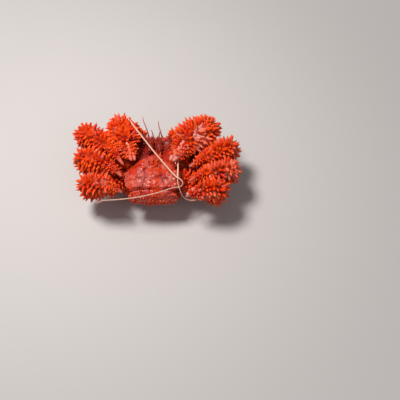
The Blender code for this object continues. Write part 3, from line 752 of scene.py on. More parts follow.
# The spines: each packed one is drawn finely in its own place, and smaller ones fill in between.
# For each kind of piece: form, how many, shortest, longest and root radius
spinePlan = {
    "carapace": (("spine", 460, 3.5, 11.0, 2.9),),
    "thorax": (("knob", 60, 0.8, 1.6, 1.3), ("spine", 60, 1.2, 3.0, 1.3)),
    "abdomen_flap": (("knob", 50, 0.8, 2.0, 1.4),),
    "abdomen_base": (("knob", 60, 1.0, 2.6, 1.6), ("spine", 150, 1.8, 5.0, 2.0)),
    "base": (("spine", 40, 1.8, 4.0, 1.5),),
    "merus": (("spine", 120, 3.0, 11.0, 3.6),),
    "carpus": (("spine", 120, 3.2, 12.4, 3.9),),
    "propodus": (("spine", 120, 3.2, 12.0, 3.8),),
    "dactylus": (("spine", 70, 2.2, 5.5, 2.3),),
    "palm": (("spine", 210, 3.6, 12.4, 4.0),),
    "finger": (("spine", 50, 3.0, 7.5, 2.8),),
    "fixed": (("spine", 50, 3.0, 7.5, 2.8),),
    "mouthpart": (("spine", 150, 1.6, 4.8, 0.85),),
}
spineRules = {
    "seed": 11, "tries": 30, "lean": 0.3, "wobble": 0.3, "bellyHeight": 62,
    # The least mean leaning of the edges round a packed spine's tip, which leaves out blunt corners
    "sharpness": {"spine": 0.86, "knob": 0.62},
    "deepest": 18, "shortest": 1, "widest": 4.5, "packedRoom": 3.1,
    # From where to where along its line a piece has spines, as shares of the line
    "reach": {"base": (0, 1), "mouthpart": (-0.2, 1.2), "dactylus": (-0.1, 0.66), "finger": (-0.1, 0.76),
              "fixed": (-0.1, 0.76)},
    "otherReach": (-0.3, 1.25), "carapaceTop": 40.2, "baseTop": 62, "aboveTop": 0.25, "bitingEdge": 3.4,
    # Room to other pieces and to the floor at these shares of a spine, and between roots
    "shares": (0.4, 0.7, 1.0), "nearOthers": 1.2, "nearBox": 2, "nearFloor": 0.4, "spacing": 0.78,
    "thinnest": 0.6, "paleKnobs": 0.22, "knobPaleness": 0.9,
}

# Pale places of the shell by node, each round a line: both ends, radius, paleness, and if its middle is bare
palePatches = {
    "claw_left_palm": (((75, 30, 105), (82, 46, 102), 11, 0.9, True),
                       ((66, 12, 96), (90, 26, 95), 9, 0.75, False)),
    "claw_left_carpus": (((84, 26, 84), (100, 44, 80), 10, 0.55, False),),
    "leg_left_1_carpus": (((138, 20, 66), (134, 16, 82), 8, 0.4, False),),
    "leg_left_2_carpus": (((138, -16, 62), (132, -26, 84), 13, 0.6, False),),
    "leg_left_2_propodus": (((116, -14, 88), (92, -24, 92), 8, 0.35, False),
                            ((138, -14, 84), (128, -34, 84), 12, 0.65, False)),
    # This patch's paleness is partly painted highlight on the spines there
    "leg_left_3_propodus": (((104, -70, 80), (84, -75, 82), 8, 0.45, False),),
    "leg_right_3_propodus": (((-92, -52, 92), (-80, -52, 96), 7, 0.4, False),),
}
patchCore = {"paint": 0.6, "spines": 0.5, "bare": 0.4}  # where each effect starts to fade or ends, in radii


def kindOf(name):
    kinds = (name, name.split("_")[-1], name.split("_")[0])
    return next(kind for kind in kinds if kind in spinePlan)


def headingAt(name, point, normal, dice):
    wobble = Vector([dice.gauss(0, spineRules["wobble"]) for _ in range(3)])
    if name not in axes:
        middle = at((0, 0, spineRules["bellyHeight"]))
        outward = (point - middle).normalized() if name == "carapace" else normal
        return (normal + outward + wobble).normalized()
    start, end = axes[name]
    along = (end - start).normalized()
    nearest = start + along * min(max((point - start).dot(along), 0), (end - start).length)
    return ((point - nearest).normalized() * 2 + normal + along * spineRules["lean"] + wobble).normalized()


def awayFrom(plans, start, end):
    start, end = np.array(start, float), np.array(end, float)
    line = end - start
    share = np.clip((plans - start) @ line / (line @ line), 0, 1)
    return np.linalg.norm(plans - start - np.outer(share, line), axis=1)


def isBare(name, point):
    plan = np.array([toPlan(point)])
    return any(bare and awayFrom(plan, start, end)[0] < radius * patchCore["bare"]
               for start, end, radius, _, bare in palePatches.get(name, ()))


# How pale the patches make each point of a piece. Spines that stand near one share its paleness
def patchesAt(name, plans, core):
    pale = np.zeros(len(plans))
    for start, end, radius, most, _ in palePatches.get(name, ()):
        pale = np.maximum(pale, most * (1 - smoothStep(awayFrom(plans, start, end), radius * core, radius)))
    return pale


for name in palePatches:
    pale = patchesAt(name, toPlans(vertsOf(cores[name])), patchCore["paint"])
    paint(cores[name], pale=np.maximum(painted(cores[name], "pale"), pale))


def allowed(name, point, normal, dice):
    if isBare(name, point):
        return False
    if name == "carapace":
        return normal.z < 0.7 and point.z < spineRules["carapaceTop"] * mm
    if name in ("abdomen_flap", "thorax"):
        return normal.z > 0.35
    if name == "abdomen_base":
        return point.z < spineRules["baseTop"] * mm or dice.random() < spineRules["aboveTop"]
    start, end = axes[name]
    if kindOf(name) in ("finger", "fixed") and normal.z > -0.3:
        across = (end - start).cross(up).normalized()
        if abs((point - start).dot(across)) < spineRules["bitingEdge"] * mm:
            return False
    share = (point - start).dot(end - start) / (end - start).length_squared
    least, most = spineRules["reach"].get(kindOf(name), spineRules["otherReach"])
    return least < share < most


trees = {name: treeOf(obj) for name, obj in cores.items()}
nearBox = spineRules["nearBox"] * mm
boxes = {name: (vertsOf(obj).min(0) - nearBox, vertsOf(obj).max(0) + nearBox) for name, obj in cores.items()}


def isClear(name, root, heading, length):
    for share in spineRules["shares"]:
        place = root + heading * length * share
        if place.z < spineRules["nearFloor"] * mm:
            return False
        for other, tree in trees.items():
            low, high = boxes[other]
            if other == name or (np.array(place) < low).any() or (np.array(place) > high).any():
                continue
            hit, normal, _, distance = tree.find_nearest(place)
            if distance < spineRules["nearOthers"] * mm or (place - hit).dot(normal) < 0:
                return False
    return True


# Fills a piece with spines or knobs that keep clear of the roots already there and of other pieces
def scattered(name, skin, roots, dice, form, count, shortest, longest, radius):
    rules = spineRules
    places = []
    for _ in range(count * rules["tries"]):
        point, normal = skin.point(dice)
        if not allowed(name, point, normal, dice):
            continue
        if any((point - other).length < room for other, room in roots):
            continue
        heading = headingAt(name, point, normal, dice)
        length = (shortest + (longest - shortest) * dice.random()) * mm
        if not isClear(name, point, heading, length):
            continue
        wide = radius * mm * (rules["thinnest"] + (1 - rules["thinnest"]) * length / (longest * mm))
        paleness = float(patchesAt(name, np.array([toPlan(point)]), patchCore["spines"])[0])
        if form == "knob" and dice.random() < rules["paleKnobs"]:
            paleness = rules["knobPaleness"]
        places.append((point, heading, length, wide, paleness))
        roots.append((point, wide * 2 * rules["spacing"]))
        if len(places) == count:
            break
    return places


def spinesOn(name, obj, dice):
    rules = spineRules
    plans = spinePlan[kindOf(name)]
    ownForm = plans[0][0]
    places, roots = [], []
    node = name.replace("_fixed", "_palm")  # the palm's node also holds the fixed finger
    for tip, heading, halfAngle in packedSpines(node, rules["sharpness"][ownForm]):
        hit, _, _, distance = trees[name].ray_cast(tip, -heading, rules["deepest"] * mm)
        wide = distance * math.tan(halfAngle) if hit else 0
        if hit and distance >= rules["shortest"] * mm and wide <= rules["widest"] * mm:
            places.append((hit, heading, distance, wide, 0.0))
            roots.append((hit, rules["packedRoom"] * mm))
    skin = Skin(obj)
    made = {ownForm: places, "knob" if ownForm == "spine" else "spine": []}
    for plan in plans:
        made[plan[0]] += scattered(name, skin, roots, dice, *plan)
    return made


def footSpines():
    plan = carapacePlan
    places = []
    for x, y in plan["feet"]:
        root = trees["carapace"].ray_cast(at((x, y, -50)), up)[0]
        heading = Vector((x * plan["footLean"], y * plan["footLean"], -1)).normalized()
        length = root.z / (plan["footShare"] * -heading.z)
        radius = max(plan["footRadius"] * mm, length * plan["footStoutness"])
        places.append((root, heading, length, radius, 0.0))
    return places


# Pale rounded knobs of single places: plan place, heading, height and radius
knobPlaces = {
    "leg_left_3_dactylus": (((68, -64, 85.5), (-0.2, 0.3, 1), 4.5, 5.0),
                            ((60, -69.5, 80.5), (-0.3, 0, 1), 3.8, 4.0)),
    "abdomen_flap": (((33, -33, 84), (0.3, 0, 1), 3.6, 4.6), ((36, -42, 82.5), (0.4, 0, 1), 3.2, 3.8),
                     ((29.5, -40, 84.5), (0, 0.2, 1), 2.6, 3.2), ((37, -27, 82), (0.4, 0.2, 1), 2.4, 3.0),
                     ((38, -51, 81.5), (0.4, -0.2, 1), 2.6, 3.4)),
}
# A rounded pale knob stands at each side of a leg's joint
condylePlan = {"pieces": ("merus", "carpus", "propodus"), "share": 0.93, "aside": 20, "height": 1.8,
               "radius": 2.6, "paleness": 0.8}
# Red spines that stand together in places, seen from above: middle, spread, how many, lengths and root radius
tufts = (
    ("abdomen_flap", (7, -5), (4.2, 6), 64, (4.0, 8.5), 2.3),
    ("thorax", (0, 38), (20, 7), 120, (2.0, 5.0), 1.4),
    ("thorax", (-30, 5), (4, 18), 50, (1.5, 3.5), 1.3),
    ("thorax", (30, 5), (4, 18), 50, (1.5, 3.5), 1.3),
)
# Rows of spines along the edges of the abdomen: both ends, heading, how many, lengths and root radius.
# The last of each node's rows stand on both sides
spineRows = {
    "abdomen_flap": (((-37, -57, 84), (37, -57, 84), (0, -0.7, 1), 12, (1.6, 3.2), 1.9),
                     ((-44, -56, 77), (-42, -20, 77), (-1, 0, 0.4), 14, (2.2, 4.2), 1.6)),
    "abdomen_base": (((-37, -64, 80), (37, -64, 80), (0, -1, 0.7), 12, (1.6, 3.2), 1.9),
                     ((-36, -76, 62), (36, -76, 62), (0, -1, 0.2), 18, (1.8, 3.6), 1.6),
                     ((-34, -72, 52), (34, -72, 52), (0, -1, -0.2), 18, (1.8, 3.6), 1.6),
                     ((-38, -60, 58), (-38, -72, 78), (-1, -0.3, 0.2), 12, (2.0, 4.0), 1.7)),
}
rowLooks = {"places": (0.2, 0.8), "scatter": 0.7, "lean": 0.15, "above": 30, "paleness": (0, 0.25, 0.6)}


def scatter(dice, spread):
    return Vector([dice.gauss(0, spread) for _ in range(3)])


def knobsOn(name):
    made = [(at(place), Vector(heading).normalized(), height * mm, radius * mm, 1.0)
            for place, heading, height, radius in knobPlaces.get(name, ())]
    made += toothRows.get(name, [])
    plan = condylePlan
    if kindOf(name) in plan["pieces"]:
        start, end = axes[name]
        across = (end - start).cross(up).normalized()
        for side in (-1, 1):
            beside = start.lerp(end, plan["share"]) + across * side * (plan["aside"] * mm)
            hit, normal, _, _ = trees[name].find_nearest(beside)
            made.append((hit, normal, plan["height"] * mm, plan["radius"] * mm, plan["paleness"]))
    return made


def tuft(node, middle, spread, count, lengths, radius, dice):
    places = []
    for _ in range(count):
        x, y = (dice.gauss(m, s) for m, s in zip(middle, spread))
        hit, normal, _, _ = trees[node].ray_cast(at((x, y, 120)), -up)
        if hit is None or normal.z < 0.2:
            continue
        heading = (normal + Vector((dice.gauss(0, 0.2), dice.gauss(0, 0.2), 0.3))).normalized()
        length = dice.uniform(*lengths) * mm
        if isClear(node, hit, heading, length):
            places.append((hit, heading, length, radius * mm, 0.0))
    return places


def spineRow(node, start, end, heading, count, lengths, radius, dice):
    looks = rowLooks
    places = []
    heading = Vector(heading).normalized()
    for i in range(count):
        share = (i + dice.uniform(*looks["places"])) / count
        place = at(Vector(start).lerp(Vector(end), share)) + scatter(dice, looks["scatter"]) * mm
        hit = trees[node].ray_cast(place + heading * (looks["above"] * mm), -heading)[0]
        if hit is not None:
            aim = (heading + scatter(dice, looks["lean"])).normalized()
            length = dice.uniform(*lengths) * mm
            places.append((hit, aim, length, radius * mm, dice.choice(looks["paleness"])))
    return places


def extraSpines(name, dice):
    made = [place for node, *plan in tufts if node == name for place in tuft(node, *plan, dice)]
    rows = list(spineRows.get(name, ()))
    if rows:
        start, end, heading, *rest = rows[-1]
        rows.append([(-x, y, z) for x, y, z in (start, end, heading)] + rest)
    return made + [place for row in rows for place in spineRow(name, *row, dice)]


spineTotal = 0
for number, (name, obj) in enumerate(cores.items()):
    dice = random.Random(number + spineRules["seed"])
    made = spinesOn(name, obj, dice)
    if name == "carapace":
        made["spine"] += footSpines()
    made["knob"] += knobsOn(name)
    made["spine"] += extraSpines(name, dice)
    spineTotal += sum(len(places) for places in made.values())
    joinInto(obj, [stamp("spines", form, places, dice) for form, places in made.items() if places])
    if name == "carapace":
        cutAt(obj, Vector((0, 0, 0)), Vector((0, 0, -1)))
for limb in limbs["clawSize"]:
    joinInto(cores[limb + "_palm"], [cores.pop(limb + "_fixed")])
print("stage: spines placed,", spineTotal)

# Eyes and feelers: round wires of changing thickness along their lines
facePlan = {
    "seed": 40,
    "stalkLine": ((5, 46, 43.6), (6.3, 54, 43.7), (7.3, 58.5, 43.8), (8.1, 61.5, 43.9)),
    "stalkGirth": (2.4, 1.9, 2.3, 2.6), "stalkSides": 24,
    "cornea": {"from": (7.9, 61.0, 43.85), "to": (9.3, 66.8, 44.05), "radius": 3.0, "sides": 24,
               "flatness": 0.9, "dent": 0.08},
    "feelerLines": {
        "right": ((-14, 43, 45), (-14, 55, 46), (-13.5, 62, 48), (-15, 71, 53), (-19, 81, 60), (-23, 90, 65),
                  (-25, 98, 67)),
        "left": ((14, 43, 45), (13.5, 55, 46), (12, 62, 48), (9, 70, 52), (6, 79, 56), (4, 88, 57),
                 (3, 97, 55)),
    },
    "feelerGirth": (3.6, 3.4, 2.4, 1.1, 0.9, 0.7, 0.4), "feelerSides": 16, "feelerLumps": (3, 0.5),
    "smallFeeler": ((4.4, 50, 48.6), (4.6, 58, 50.5), (5.2, 64, 53.5), (6.6, 69, 58.5), (9, 73.5, 62)),
    "smallFeelerGirth": (1.7, 1.4, 1.2, 0.8, 0.4),
    # Small spines on the stout root joints: how many, shortest, longest, root radius and up to which y
    "feelerSpines": (26, 1.6, 3.6, 0.9, 63), "stalkSpines": (9, 0.9, 1.8, 0.6, 60),
}


def wire(name, line, girth, sides):
    curve = bpy.data.curves.new(name, "CURVE")
    curve.dimensions = "3D"
    curve.bevel_depth = 1 * mm
    curve.bevel_resolution = sides // 4 - 1
    curve.use_fill_caps = True
    curve.resolution_u = 10
    spline = curve.splines.new("BEZIER")
    spline.bezier_points.add(len(line) - 1)
    for point, place, radius in zip(spline.bezier_points, line, girth):
        point.co = at(place)
        point.handle_left_type = point.handle_right_type = "AUTO"
        point.radius = radius
    obj = bpy.data.objects.new(name, curve)
    bpy.context.scene.collection.objects.link(obj)
    pick(obj)
    bpy.ops.object.convert(target="MESH")
    obj = bpy.context.object
    edit(obj)
    bpy.ops.mesh.remove_doubles(threshold=touching)
    closeEdit(obj)
    paint(obj, pale=0, rise=0)
    return obj


# The dark end of the eye: a rounded, slightly kidney-shaped dome round the stalk's tip
def cornea(name, start, end):
    plan = facePlan["cornea"]
    half, wide = (end - start).length / 2, plan["radius"] * mm
    turns = [math.radians(angle) for angle in range(160, 0, -20)]
    stations = [(half * math.cos(turn), wide * math.sin(turn), wide * plan["flatness"] * math.sin(turn))
                for turn in turns]
    obj = column(name, stations, plan["sides"], (-half, half))
    smoothed(obj, 1)
    moveVerts(obj, lambda places: places - np.outer(
        plan["dent"] * wide * np.cos(places[:, 1] / wide * math.pi) * (places[:, 0] > 0), (1, 0, 0)))
    layAlong(obj, (start + end) / 2, (end - start).normalized())
    return obj


# Small spines scattered over a wire's first part, away from the crab's middle line
def bristled(obj, plan, dice):
    count, shortest, longest, radius, upTo = plan
    skin = Skin(obj)
    places = []
    while len(places) < count:
        point, normal = skin.point(dice)
        if toPlan(point).y < upTo and normal.y > -0.3:
            heading = (normal + Vector((0, 0.7, 0))).normalized()
            places.append((point, heading, dice.uniform(shortest, longest) * mm, radius * mm, 0.0))
    joinInto(obj, [stamp("bristles", "spine", places, dice)])


pieces = []  # object, node, slot and ending of its name
for side, flip in bothSides:
    dice = random.Random(flip + facePlan["seed"])
    line = mirrored(facePlan["stalkLine"], flip)
    stalk = wire("stalk", line, facePlan["stalkGirth"], facePlan["stalkSides"])
    bristled(stalk, facePlan["stalkSpines"], dice)
    ends = [at(end) for end in mirrored((facePlan["cornea"]["from"], facePlan["cornea"]["to"]), flip)]
    dome = cornea("cornea", *ends)
    feeler = wire("feeler", facePlan["feelerLines"][side], facePlan["feelerGirth"], facePlan["feelerSides"])
    lumpy(feeler, *facePlan["feelerLumps"])
    bristled(feeler, facePlan["feelerSpines"], dice)
    line = mirrored(facePlan["smallFeeler"], flip)
    small = wire("small", line, facePlan["smallFeelerGirth"], facePlan["feelerSides"])
    pieces += [(stalk, "eye_" + side, "shell", "_stalk"),
               (dome, "eye_" + side, "eye", "_cornea"),
               (feeler, "feeler_" + side, "feeler", "_shell"), (small, "feeler_" + side, "feeler", "_small")]
print("stage: face made")

# Two linked elastic bands, flat strips drawn round the legs of each side
bandPlan = {
    "halfWidth": 1.5, "halfThickness": 0.6, "points": 180, "sides": 12, "squareness": 0.5, "samples": 24,
    "routes": {
        "band_right_side": ((-44, 66, 104), (-52, 85, 95), (-57, 99, 74), (-57, 98, 48), (-66, 82, 37),
                            (-80, 46, 35), (-90, 8, 32), (-93, -38, 31), (-96, -60, 38), (-96, -72, 54),
                            (-84, -75, 68), (-60, -77, 75), (-30, -76, 80), (4, -70, 83.5), (34, -59, 83),
                            (46, -57, 83), (51, -52, 87.5), (46, -46, 92), (37, -40, 93), (0, 6, 97)),
        "band_left_side": ((42, -44, 88.6), (42, -24, 86), (42, 0, 79.5), (46, 24, 74), (58, 68, 73),
                           (66, 92, 66), (66, 93, 48), (70, 76, 37), (86, 36, 34), (94, -4, 32),
                           (84, -46, 33), (69, -60, 41), (57, -66, 56), (50, -67, 70), (46, -62, 82),
                           (43, -54, 87.6)),
    },
}


def smoothLoop(route):
    corners = [Vector(p) for p in route]
    total, count = len(corners), bandPlan["points"]
    samples = []
    for i in range(total * bandPlan["samples"]):
        k, t = divmod(i / bandPlan["samples"], 1)
        a, b, c, d = (corners[(int(k) + j - 1) % total] for j in range(4))
        samples.append(0.5 * (2 * b + (c - a) * t + (2 * a - 5 * b + 4 * c - d) * t ** 2
                              + (3 * b - a - 3 * c + d) * t ** 3))
    line = np.array([s[:] for s in samples + samples[:1]])
    lengths = np.concatenate(([0], np.cumsum(np.linalg.norm(np.diff(line, axis=0), axis=1))))
    goals = np.arange(count) * lengths[-1] / count
    return [Vector([float(np.interp(g, lengths, line[:, k])) for k in range(3)]) for g in goals]


def elasticBand(name, route):
    points, sides = smoothLoop(route), bandPlan["sides"]
    count = len(points)
    middle = sum(points, Vector()) / count

    def rounded(size, value):
        return size * math.copysign(abs(value) ** bandPlan["squareness"], value)

    section = [(rounded(bandPlan["halfWidth"], math.cos(a)), rounded(bandPlan["halfThickness"], math.sin(a)))
               for a in (math.tau * k / sides for k in range(sides))]
    bm = bmesh.new()
    rings = []
    across = (points[1] - points[-1]).normalized().cross(points[0] - middle)
    for i, p in enumerate(points):
        along = (points[(i + 1) % count] - points[i - 1]).normalized()
        across = (across - along * across.dot(along)).normalized()
        top = across.cross(along)
        rings.append([bm.verts.new(at(p + across * u + top * v)) for u, v in section])
    # The last ring joins the first one where their points lie nearest
    turn = min(range(sides), key=lambda o: sum(
        (rings[-1][k].co - rings[0][(k + o) % sides].co).length for k in range(sides)))
    for i in range(count):
        lower, upper = rings[i], rings[(i + 1) % count]
        shift = turn if i == count - 1 else 0
        for k in range(sides):
            n = (k + 1) % sides
            bm.faces.new((lower[k], lower[n], upper[(n + shift) % sides], upper[(k + shift) % sides]))
    bmesh.ops.recalc_face_normals(bm, faces=bm.faces)
    mesh = bpy.data.meshes.new(name)
    bm.to_mesh(mesh)
    bm.free()
    obj = bpy.data.objects.new(name, mesh)
    bpy.context.scene.collection.objects.link(obj)
    return obj


for name, route in bandPlan["routes"].items():
    pieces.append((elasticBand(name, route), name, "elastic", "_shell"))
print("stage: bands drawn")

# Materials. The shell's colours run from a dark red painted as shade in the crevices between the spines to
# the spines' tips
finishes = {
    "shell": {"creviceShade": (0.17, 0.0012, 0.002), "skin": (0.70, 0.009, 0.002), "tip": (0.98, 0.062, 0.003),
              "pale": (0.84, 0.34, 0.27), "warm": (1.0, 0.10, 0.004), "orange": (1.0, 0.17, 0.006),
              "roughness": (0.24, 0.5), "blotches": 0.04, "warmth": 0.5, "speckle": 0.8, "wetness": 0.1},
    "underside": {"creviceShade": (0.15, 0.002, 0.003), "skin": (0.44, 0.008, 0.006), "tip": (0.98, 0.05, 0.006),
                  "pale": (0.65, 0.225, 0.185), "warm": (0.62, 0.048, 0.004), "orange": (1.0, 0.13, 0.007),
                  "roughness": (0.14, 0.36), "blotches": 0.22, "warmth": 0.7, "speckle": 0.25,
                  "wetness": 0.3},
}
# These differ from the underside's finish only so far
finishChanges = {
    "mouth": {"creviceShade": (0.13, 0.003, 0.004), "skin": (0.30, 0.008, 0.007), "tip": (0.55, 0.03, 0.010),
              "warm": (0.4, 0.014, 0.004), "blotches": 0.06, "warmth": 0.4, "speckle": 0.7, "wetness": 0.1},
    "chest": {"creviceShade": (0.20, 0.003, 0.003), "skin": (0.46, 0.010, 0.007), "tip": (0.80, 0.038, 0.008),
              "warm": (0.55, 0.02, 0.004), "blotches": 0.1, "warmth": 0.5, "speckle": 0.7, "wetness": 0.15},
    "rear": {"creviceShade": (0.42, 0.009, 0.005), "skin": (0.60, 0.025, 0.01), "tip": (0.93, 0.07, 0.012),
             "warm": (0.65, 0.05, 0.005), "blotches": 0.16, "warmth": 0.7, "speckle": 0.4, "wetness": 0.2},
}
for name, changes in finishChanges.items():
    finishes[name] = {**finishes["underside"], **changes}
# The ramp's first colour is painted shade: the dark of the crevices, given to every core surface painted with
# rise 0 and to the spines' roots
riseStops = {"creviceShade": 0.0, "skin": 0.22, "tip": 0.75}
# Noise of the shell: scale, detail and roughness, and the range of it that shows
shellNoise = {
    "blotches": ((58, 3, 0.5), (0.46, 0.62)), "warmth": ((38, 3, 0.5), (0.42, 0.6)),
    "speckle": ((260, 5, 0.65), (0.3, 0.62)), "wet": ((160, 3, 0.5), (0.35, 0.65)), "grain": (900, 6, 0.65),
}
shellRelief = {"pores": 650, "poreDepth": 0.6, "darkestSpeck": 0.62, "strength": 0.35, "distance": 0.0004}
shellGloss = {
    "Specular IOR Level": 0.14, "Coat Roughness": 0.08, "Subsurface Weight": 0.08,
    "Subsurface Radius": (0.004, 0.0012, 0.0006), "Subsurface Scale": 0.6,
}


def rgba(colour):
    return (*colour, 1)


# Each input takes a value or another node's output
def feed(tree, node, inputs):
    for label, value in inputs.items():
        if isinstance(value, bpy.types.NodeSocket):
            tree.links.new(value, node.inputs[label])
        else:
            node.inputs[label].default_value = value


def addNode(tree, kind, inputs=None, **settings):
    node = tree.nodes.new("ShaderNode" + kind)
    for key, value in settings.items():
        setattr(node, key, value)
    feed(tree, node, inputs or {})
    return node


def noiseFrom(tree, place, scale, detail, rough=0.55):
    inputs = {"Vector": place, "Scale": scale, "Detail": detail, "Roughness": rough}
    return addNode(tree, "TexNoise", inputs).outputs["Fac"]


def mixOf(tree, factor, first, second, way="MIX"):
    return addNode(tree, "Mix", {0: factor, 6: first, 7: second}, data_type="RGBA", blend_type=way).outputs[2]


def mathOf(tree, operation, *values):
    return addNode(tree, "Math", dict(enumerate(values)), operation=operation).outputs[0]


def rampOf(tree, value, stops):
    node = addNode(tree, "ValToRGB", {"Fac": value})
    while len(node.color_ramp.elements) < len(stops):
        node.color_ramp.elements.new(0.5)
    for element, (place, colour) in zip(node.color_ramp.elements, stops):
        element.position = place
        element.color = colour
    return node.outputs["Color"]


def reliefOf(tree, height, strength, distance):
    inputs = {"Strength": strength, "Distance": distance, "Height": height}
    return addNode(tree, "Bump", inputs).outputs["Normal"]


# Cooked shell, shared by five materials: blotches, warm areas, specks, pores and wet places.
# It gives a colour, a roughness and a height
def cookedShellGroup():
    tree = bpy.data.node_groups.new("cookedShell", "ShaderNodeTree")
    for way, kind, labels in (
            ("INPUT", "Color", ("Skin", "Blotch", "Warm")),
            ("INPUT", "Float", ("Warmth", "Blotches", "Speckle", "Least Roughness", "Most Roughness")),
            ("OUTPUT", "Color", ("Color",)), ("OUTPUT", "Float", ("Roughness", "Height"))):
        for label in labels:
            tree.interface.new_socket(label, in_out=way, socket_type="NodeSocket" + kind)
    given = tree.nodes.new("NodeGroupInput").outputs
    place = addNode(tree, "TexCoord").outputs["Object"]

    def spread(name, least=0.0):
        noise, (low, high) = shellNoise[name]
        return rampOf(tree, noiseFrom(tree, place, *noise), ((low, rgba([least] * 3)), (high, (1, 1, 1, 1))))

    warmth = mathOf(tree, "MULTIPLY", spread("warmth"), given["Warmth"])
    amount = mathOf(tree, "MULTIPLY", spread("blotches"), given["Blotches"])
    colour = mixOf(tree, amount, mixOf(tree, warmth, given["Skin"], given["Warm"]), given["Blotch"])
    colour = mixOf(tree, given["Speckle"], colour, spread("speckle", shellRelief["darkestSpeck"]), "MULTIPLY")
    pores = addNode(tree, "TexVoronoi", {"Scale": shellRelief["pores"], "Vector": place}).outputs["Distance"]
    grain = noiseFrom(tree, place, *shellNoise["grain"])
    wet, (low, high) = shellNoise["wet"]
    roughness = addNode(tree, "MapRange", {
        "Value": noiseFrom(tree, place, *wet), "From Min": low, "From Max": high,
        "To Min": given["Least Roughness"], "To Max": given["Most Roughness"]}).outputs["Result"]
    feed(tree, tree.nodes.new("NodeGroupOutput"), {
        "Color": colour, "Roughness": roughness,
        "Height": mathOf(tree, "MULTIPLY_ADD", pores, shellRelief["poreDepth"], grain)})
    return tree


cookedShell = cookedShellGroup()


def emptyMaterial(name):
    material = bpy.data.materials.new(name)
    material.use_nodes = True
    return material, material.node_tree, material.node_tree.nodes["Principled BSDF"]


def shellMaterial(name):
    plan = finishes[name]
    material, tree, shader = emptyMaterial(name)
    rise, pale, tint = (addNode(tree, "Attribute", attribute_name=key).outputs["Fac"]
                        for key in ("rise", "pale", "tint"))
    colour = rampOf(tree, rise, [(place, rgba(plan[key])) for key, place in riseStops.items()])
    colour = mixOf(tree, tint, colour, rgba(plan["orange"]))
    colour = mixOf(tree, pale, colour, rgba(plan["pale"]))
    group = addNode(tree, "Group", node_tree=cookedShell)
    least, most = plan["roughness"]
    feed(tree, group, {"Skin": colour, "Blotch": rgba(plan["pale"]), "Blotches": plan["blotches"],
                       "Warm": rgba(plan["warm"]), "Warmth": plan["warmth"], "Speckle": plan["speckle"],
                       "Least Roughness": least, "Most Roughness": most})
    relief = reliefOf(tree, group.outputs["Height"], shellRelief["strength"], shellRelief["distance"])
    feed(tree, shader, {"Base Color": group.outputs["Color"], "Roughness": group.outputs["Roughness"],
                        "Normal": relief, "Coat Weight": plan["wetness"], **shellGloss})
    return material


# Eyes, feelers and bands: two colours, roughness, scale of the mottling and coat
plainFinishes = {
    "eye": ((0.012, 0.008, 0.008), (0.04, 0.02, 0.015), 0.08, 900, 1.0),
    "feeler": ((0.30, 0.012, 0.008), (0.45, 0.03, 0.012), 0.35, 500, 0.0),
    "elastic": ((0.80, 0.42, 0.28), (0.88, 0.52, 0.38), 0.45, 300, 0.0),
}
plainRelief = {"detail": 4, "strength": 0.25, "distance": 0.0002}


def plainMaterial(name):
    first, second, roughness, scale, coat = plainFinishes[name]
    material, tree, shader = emptyMaterial(name)
    noise = noiseFrom(tree, addNode(tree, "TexCoord").outputs["Object"], scale, plainRelief["detail"])
    relief = reliefOf(tree, noise, plainRelief["strength"], plainRelief["distance"])
    feed(tree, shader, {"Base Color": mixOf(tree, noise, rgba(first), rgba(second)),
                        "Roughness": roughness, "Coat Weight": coat, "Normal": relief})
    return material


materials = {name: shellMaterial(name) for name in finishes}
materials.update((name, plainMaterial(name)) for name in plainFinishes)
# Slots by the first or last word of a node's name, where it isn't the shell
slotOf = {"thorax": "underside", "abdomen": "underside", "mouthpart": "underside", "base": "underside"}
# Nodes whose finish differs a little from the rest of their slot
materialOf = {"abdomen_base": "rear", "thorax": "chest", "mouthpart_left": "mouth",
              "mouthpart_right": "mouth"}
smoothAngle = 60


def slotFor(node):
    words = node.split("_")
    return slotOf.get(words[0]) or slotOf.get(words[-1], "shell")


pieces += [(obj, node, slotFor(node), "_shell") for node, obj in cores.items()]
for obj, node, slot, ending in pieces:
    obj.name = obj.data.name = node + ending
    obj.data.materials.append(materials[materialOf.get(node, slot)])
    pick(obj)
    bpy.ops.object.shade_smooth_by_angle(angle=math.radians(smoothAngle))
    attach(obj, "root")
    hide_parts(node)
print("stage: materials given")

# Floor, light and camera, in metres
studio = {
    "floorSize": 30, "floorColour": (0.54, 0.51, 0.50), "floorRoughness": 0.75,
    # Far from the crab the floor glows faintly, so that it fades into the pale room
    "glowFrom": 0.4, "glowTo": 1.7, "glow": 0.46, "glowColour": (0.93, 0.92, 0.92),
    # What the camera sees past the floor is paler than the light that falls on the crab
    "roomColour": (0.93, 0.93, 0.94), "roomLight": 0.17, "roomSeen": 0.62,
    # Place, size, power and colour
    "lights": {"windowLight": ((-0.4, 0.15, 1.25), 0.38, 20, (1.0, 0.98, 0.95)),
               "fillLight": ((0.8, -0.8, 1.1), 1.0, 2.5, (0.95, 0.97, 1.0))},
    "lightTarget": (0, 0, 0.06),
}
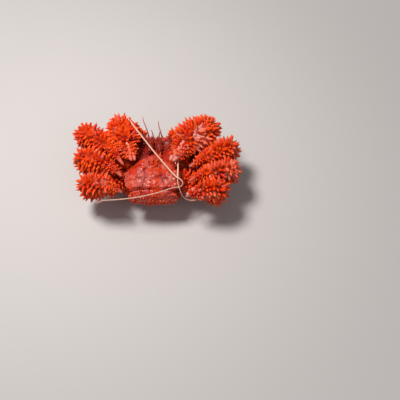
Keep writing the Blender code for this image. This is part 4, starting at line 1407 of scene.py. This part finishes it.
# The photo's camera: a target in plan millimetres, angles in degrees and its distance in metres
view = {"target": (79.5, -69.5, 60), "elevation": 62, "angle": 38, "distance": 0.985}

deselectAll()
bpy.ops.mesh.primitive_plane_add(size=studio["floorSize"], location=(0, 0, 0))
floor = bpy.context.object
floor.name = "floor"
material, tree, shader = emptyMaterial("paleFloor")
place = addNode(tree, "TexCoord").outputs["Object"]
away = addNode(tree, "VectorMath", {0: place}, operation="LENGTH").outputs["Value"]
glow = addNode(tree, "MapRange", {"Value": away, "From Min": studio["glowFrom"], "From Max": studio["glowTo"],
                                  "To Max": studio["glow"]}, interpolation_type="SMOOTHSTEP")
feed(tree, shader, {
    "Base Color": rgba(studio["floorColour"]), "Roughness": studio["floorRoughness"],
    "Emission Color": rgba(studio["glowColour"]), "Emission Strength": glow.outputs["Result"]})
floor.data.materials.append(material)

world = bpy.data.worlds.new("room")
world.use_nodes = True
tree = world.node_tree
ray = addNode(tree, "LightPath").outputs["Is Camera Ray"]
seen = addNode(tree, "MapRange", {"Value": ray, "To Min": studio["roomLight"], "To Max": studio["roomSeen"]})
feed(tree, tree.nodes["Background"], {
    "Color": rgba(studio["roomColour"]), "Strength": seen.outputs["Result"]})
bpy.context.scene.world = world
bpy.context.scene.view_settings.view_transform = "Standard"


def aimed(name, data, place, target):
    obj = bpy.data.objects.new(name, data)
    bpy.context.scene.collection.objects.link(obj)
    obj.location = place
    obj.rotation_euler = (target - obj.location).to_track_quat("-Z", "Y").to_euler()
    return obj


for name, (place, size, power, colour) in studio["lights"].items():
    light = bpy.data.lights.new(name, "AREA")
    light.shape = "DISK"
    light.size = size
    light.energy = power
    light.color = colour
    aimed(name, light, place, Vector(studio["lightTarget"]))

cameraData = bpy.data.cameras.new("camera")
cameraData.angle = math.radians(view["angle"])
lean = math.radians(view["elevation"])
target = at(view["target"])
away = Vector((0, -math.cos(lean), math.sin(lean))) * view["distance"]
bpy.context.scene.camera = aimed("camera", cameraData, target + away, target)
print("stage: stage set")
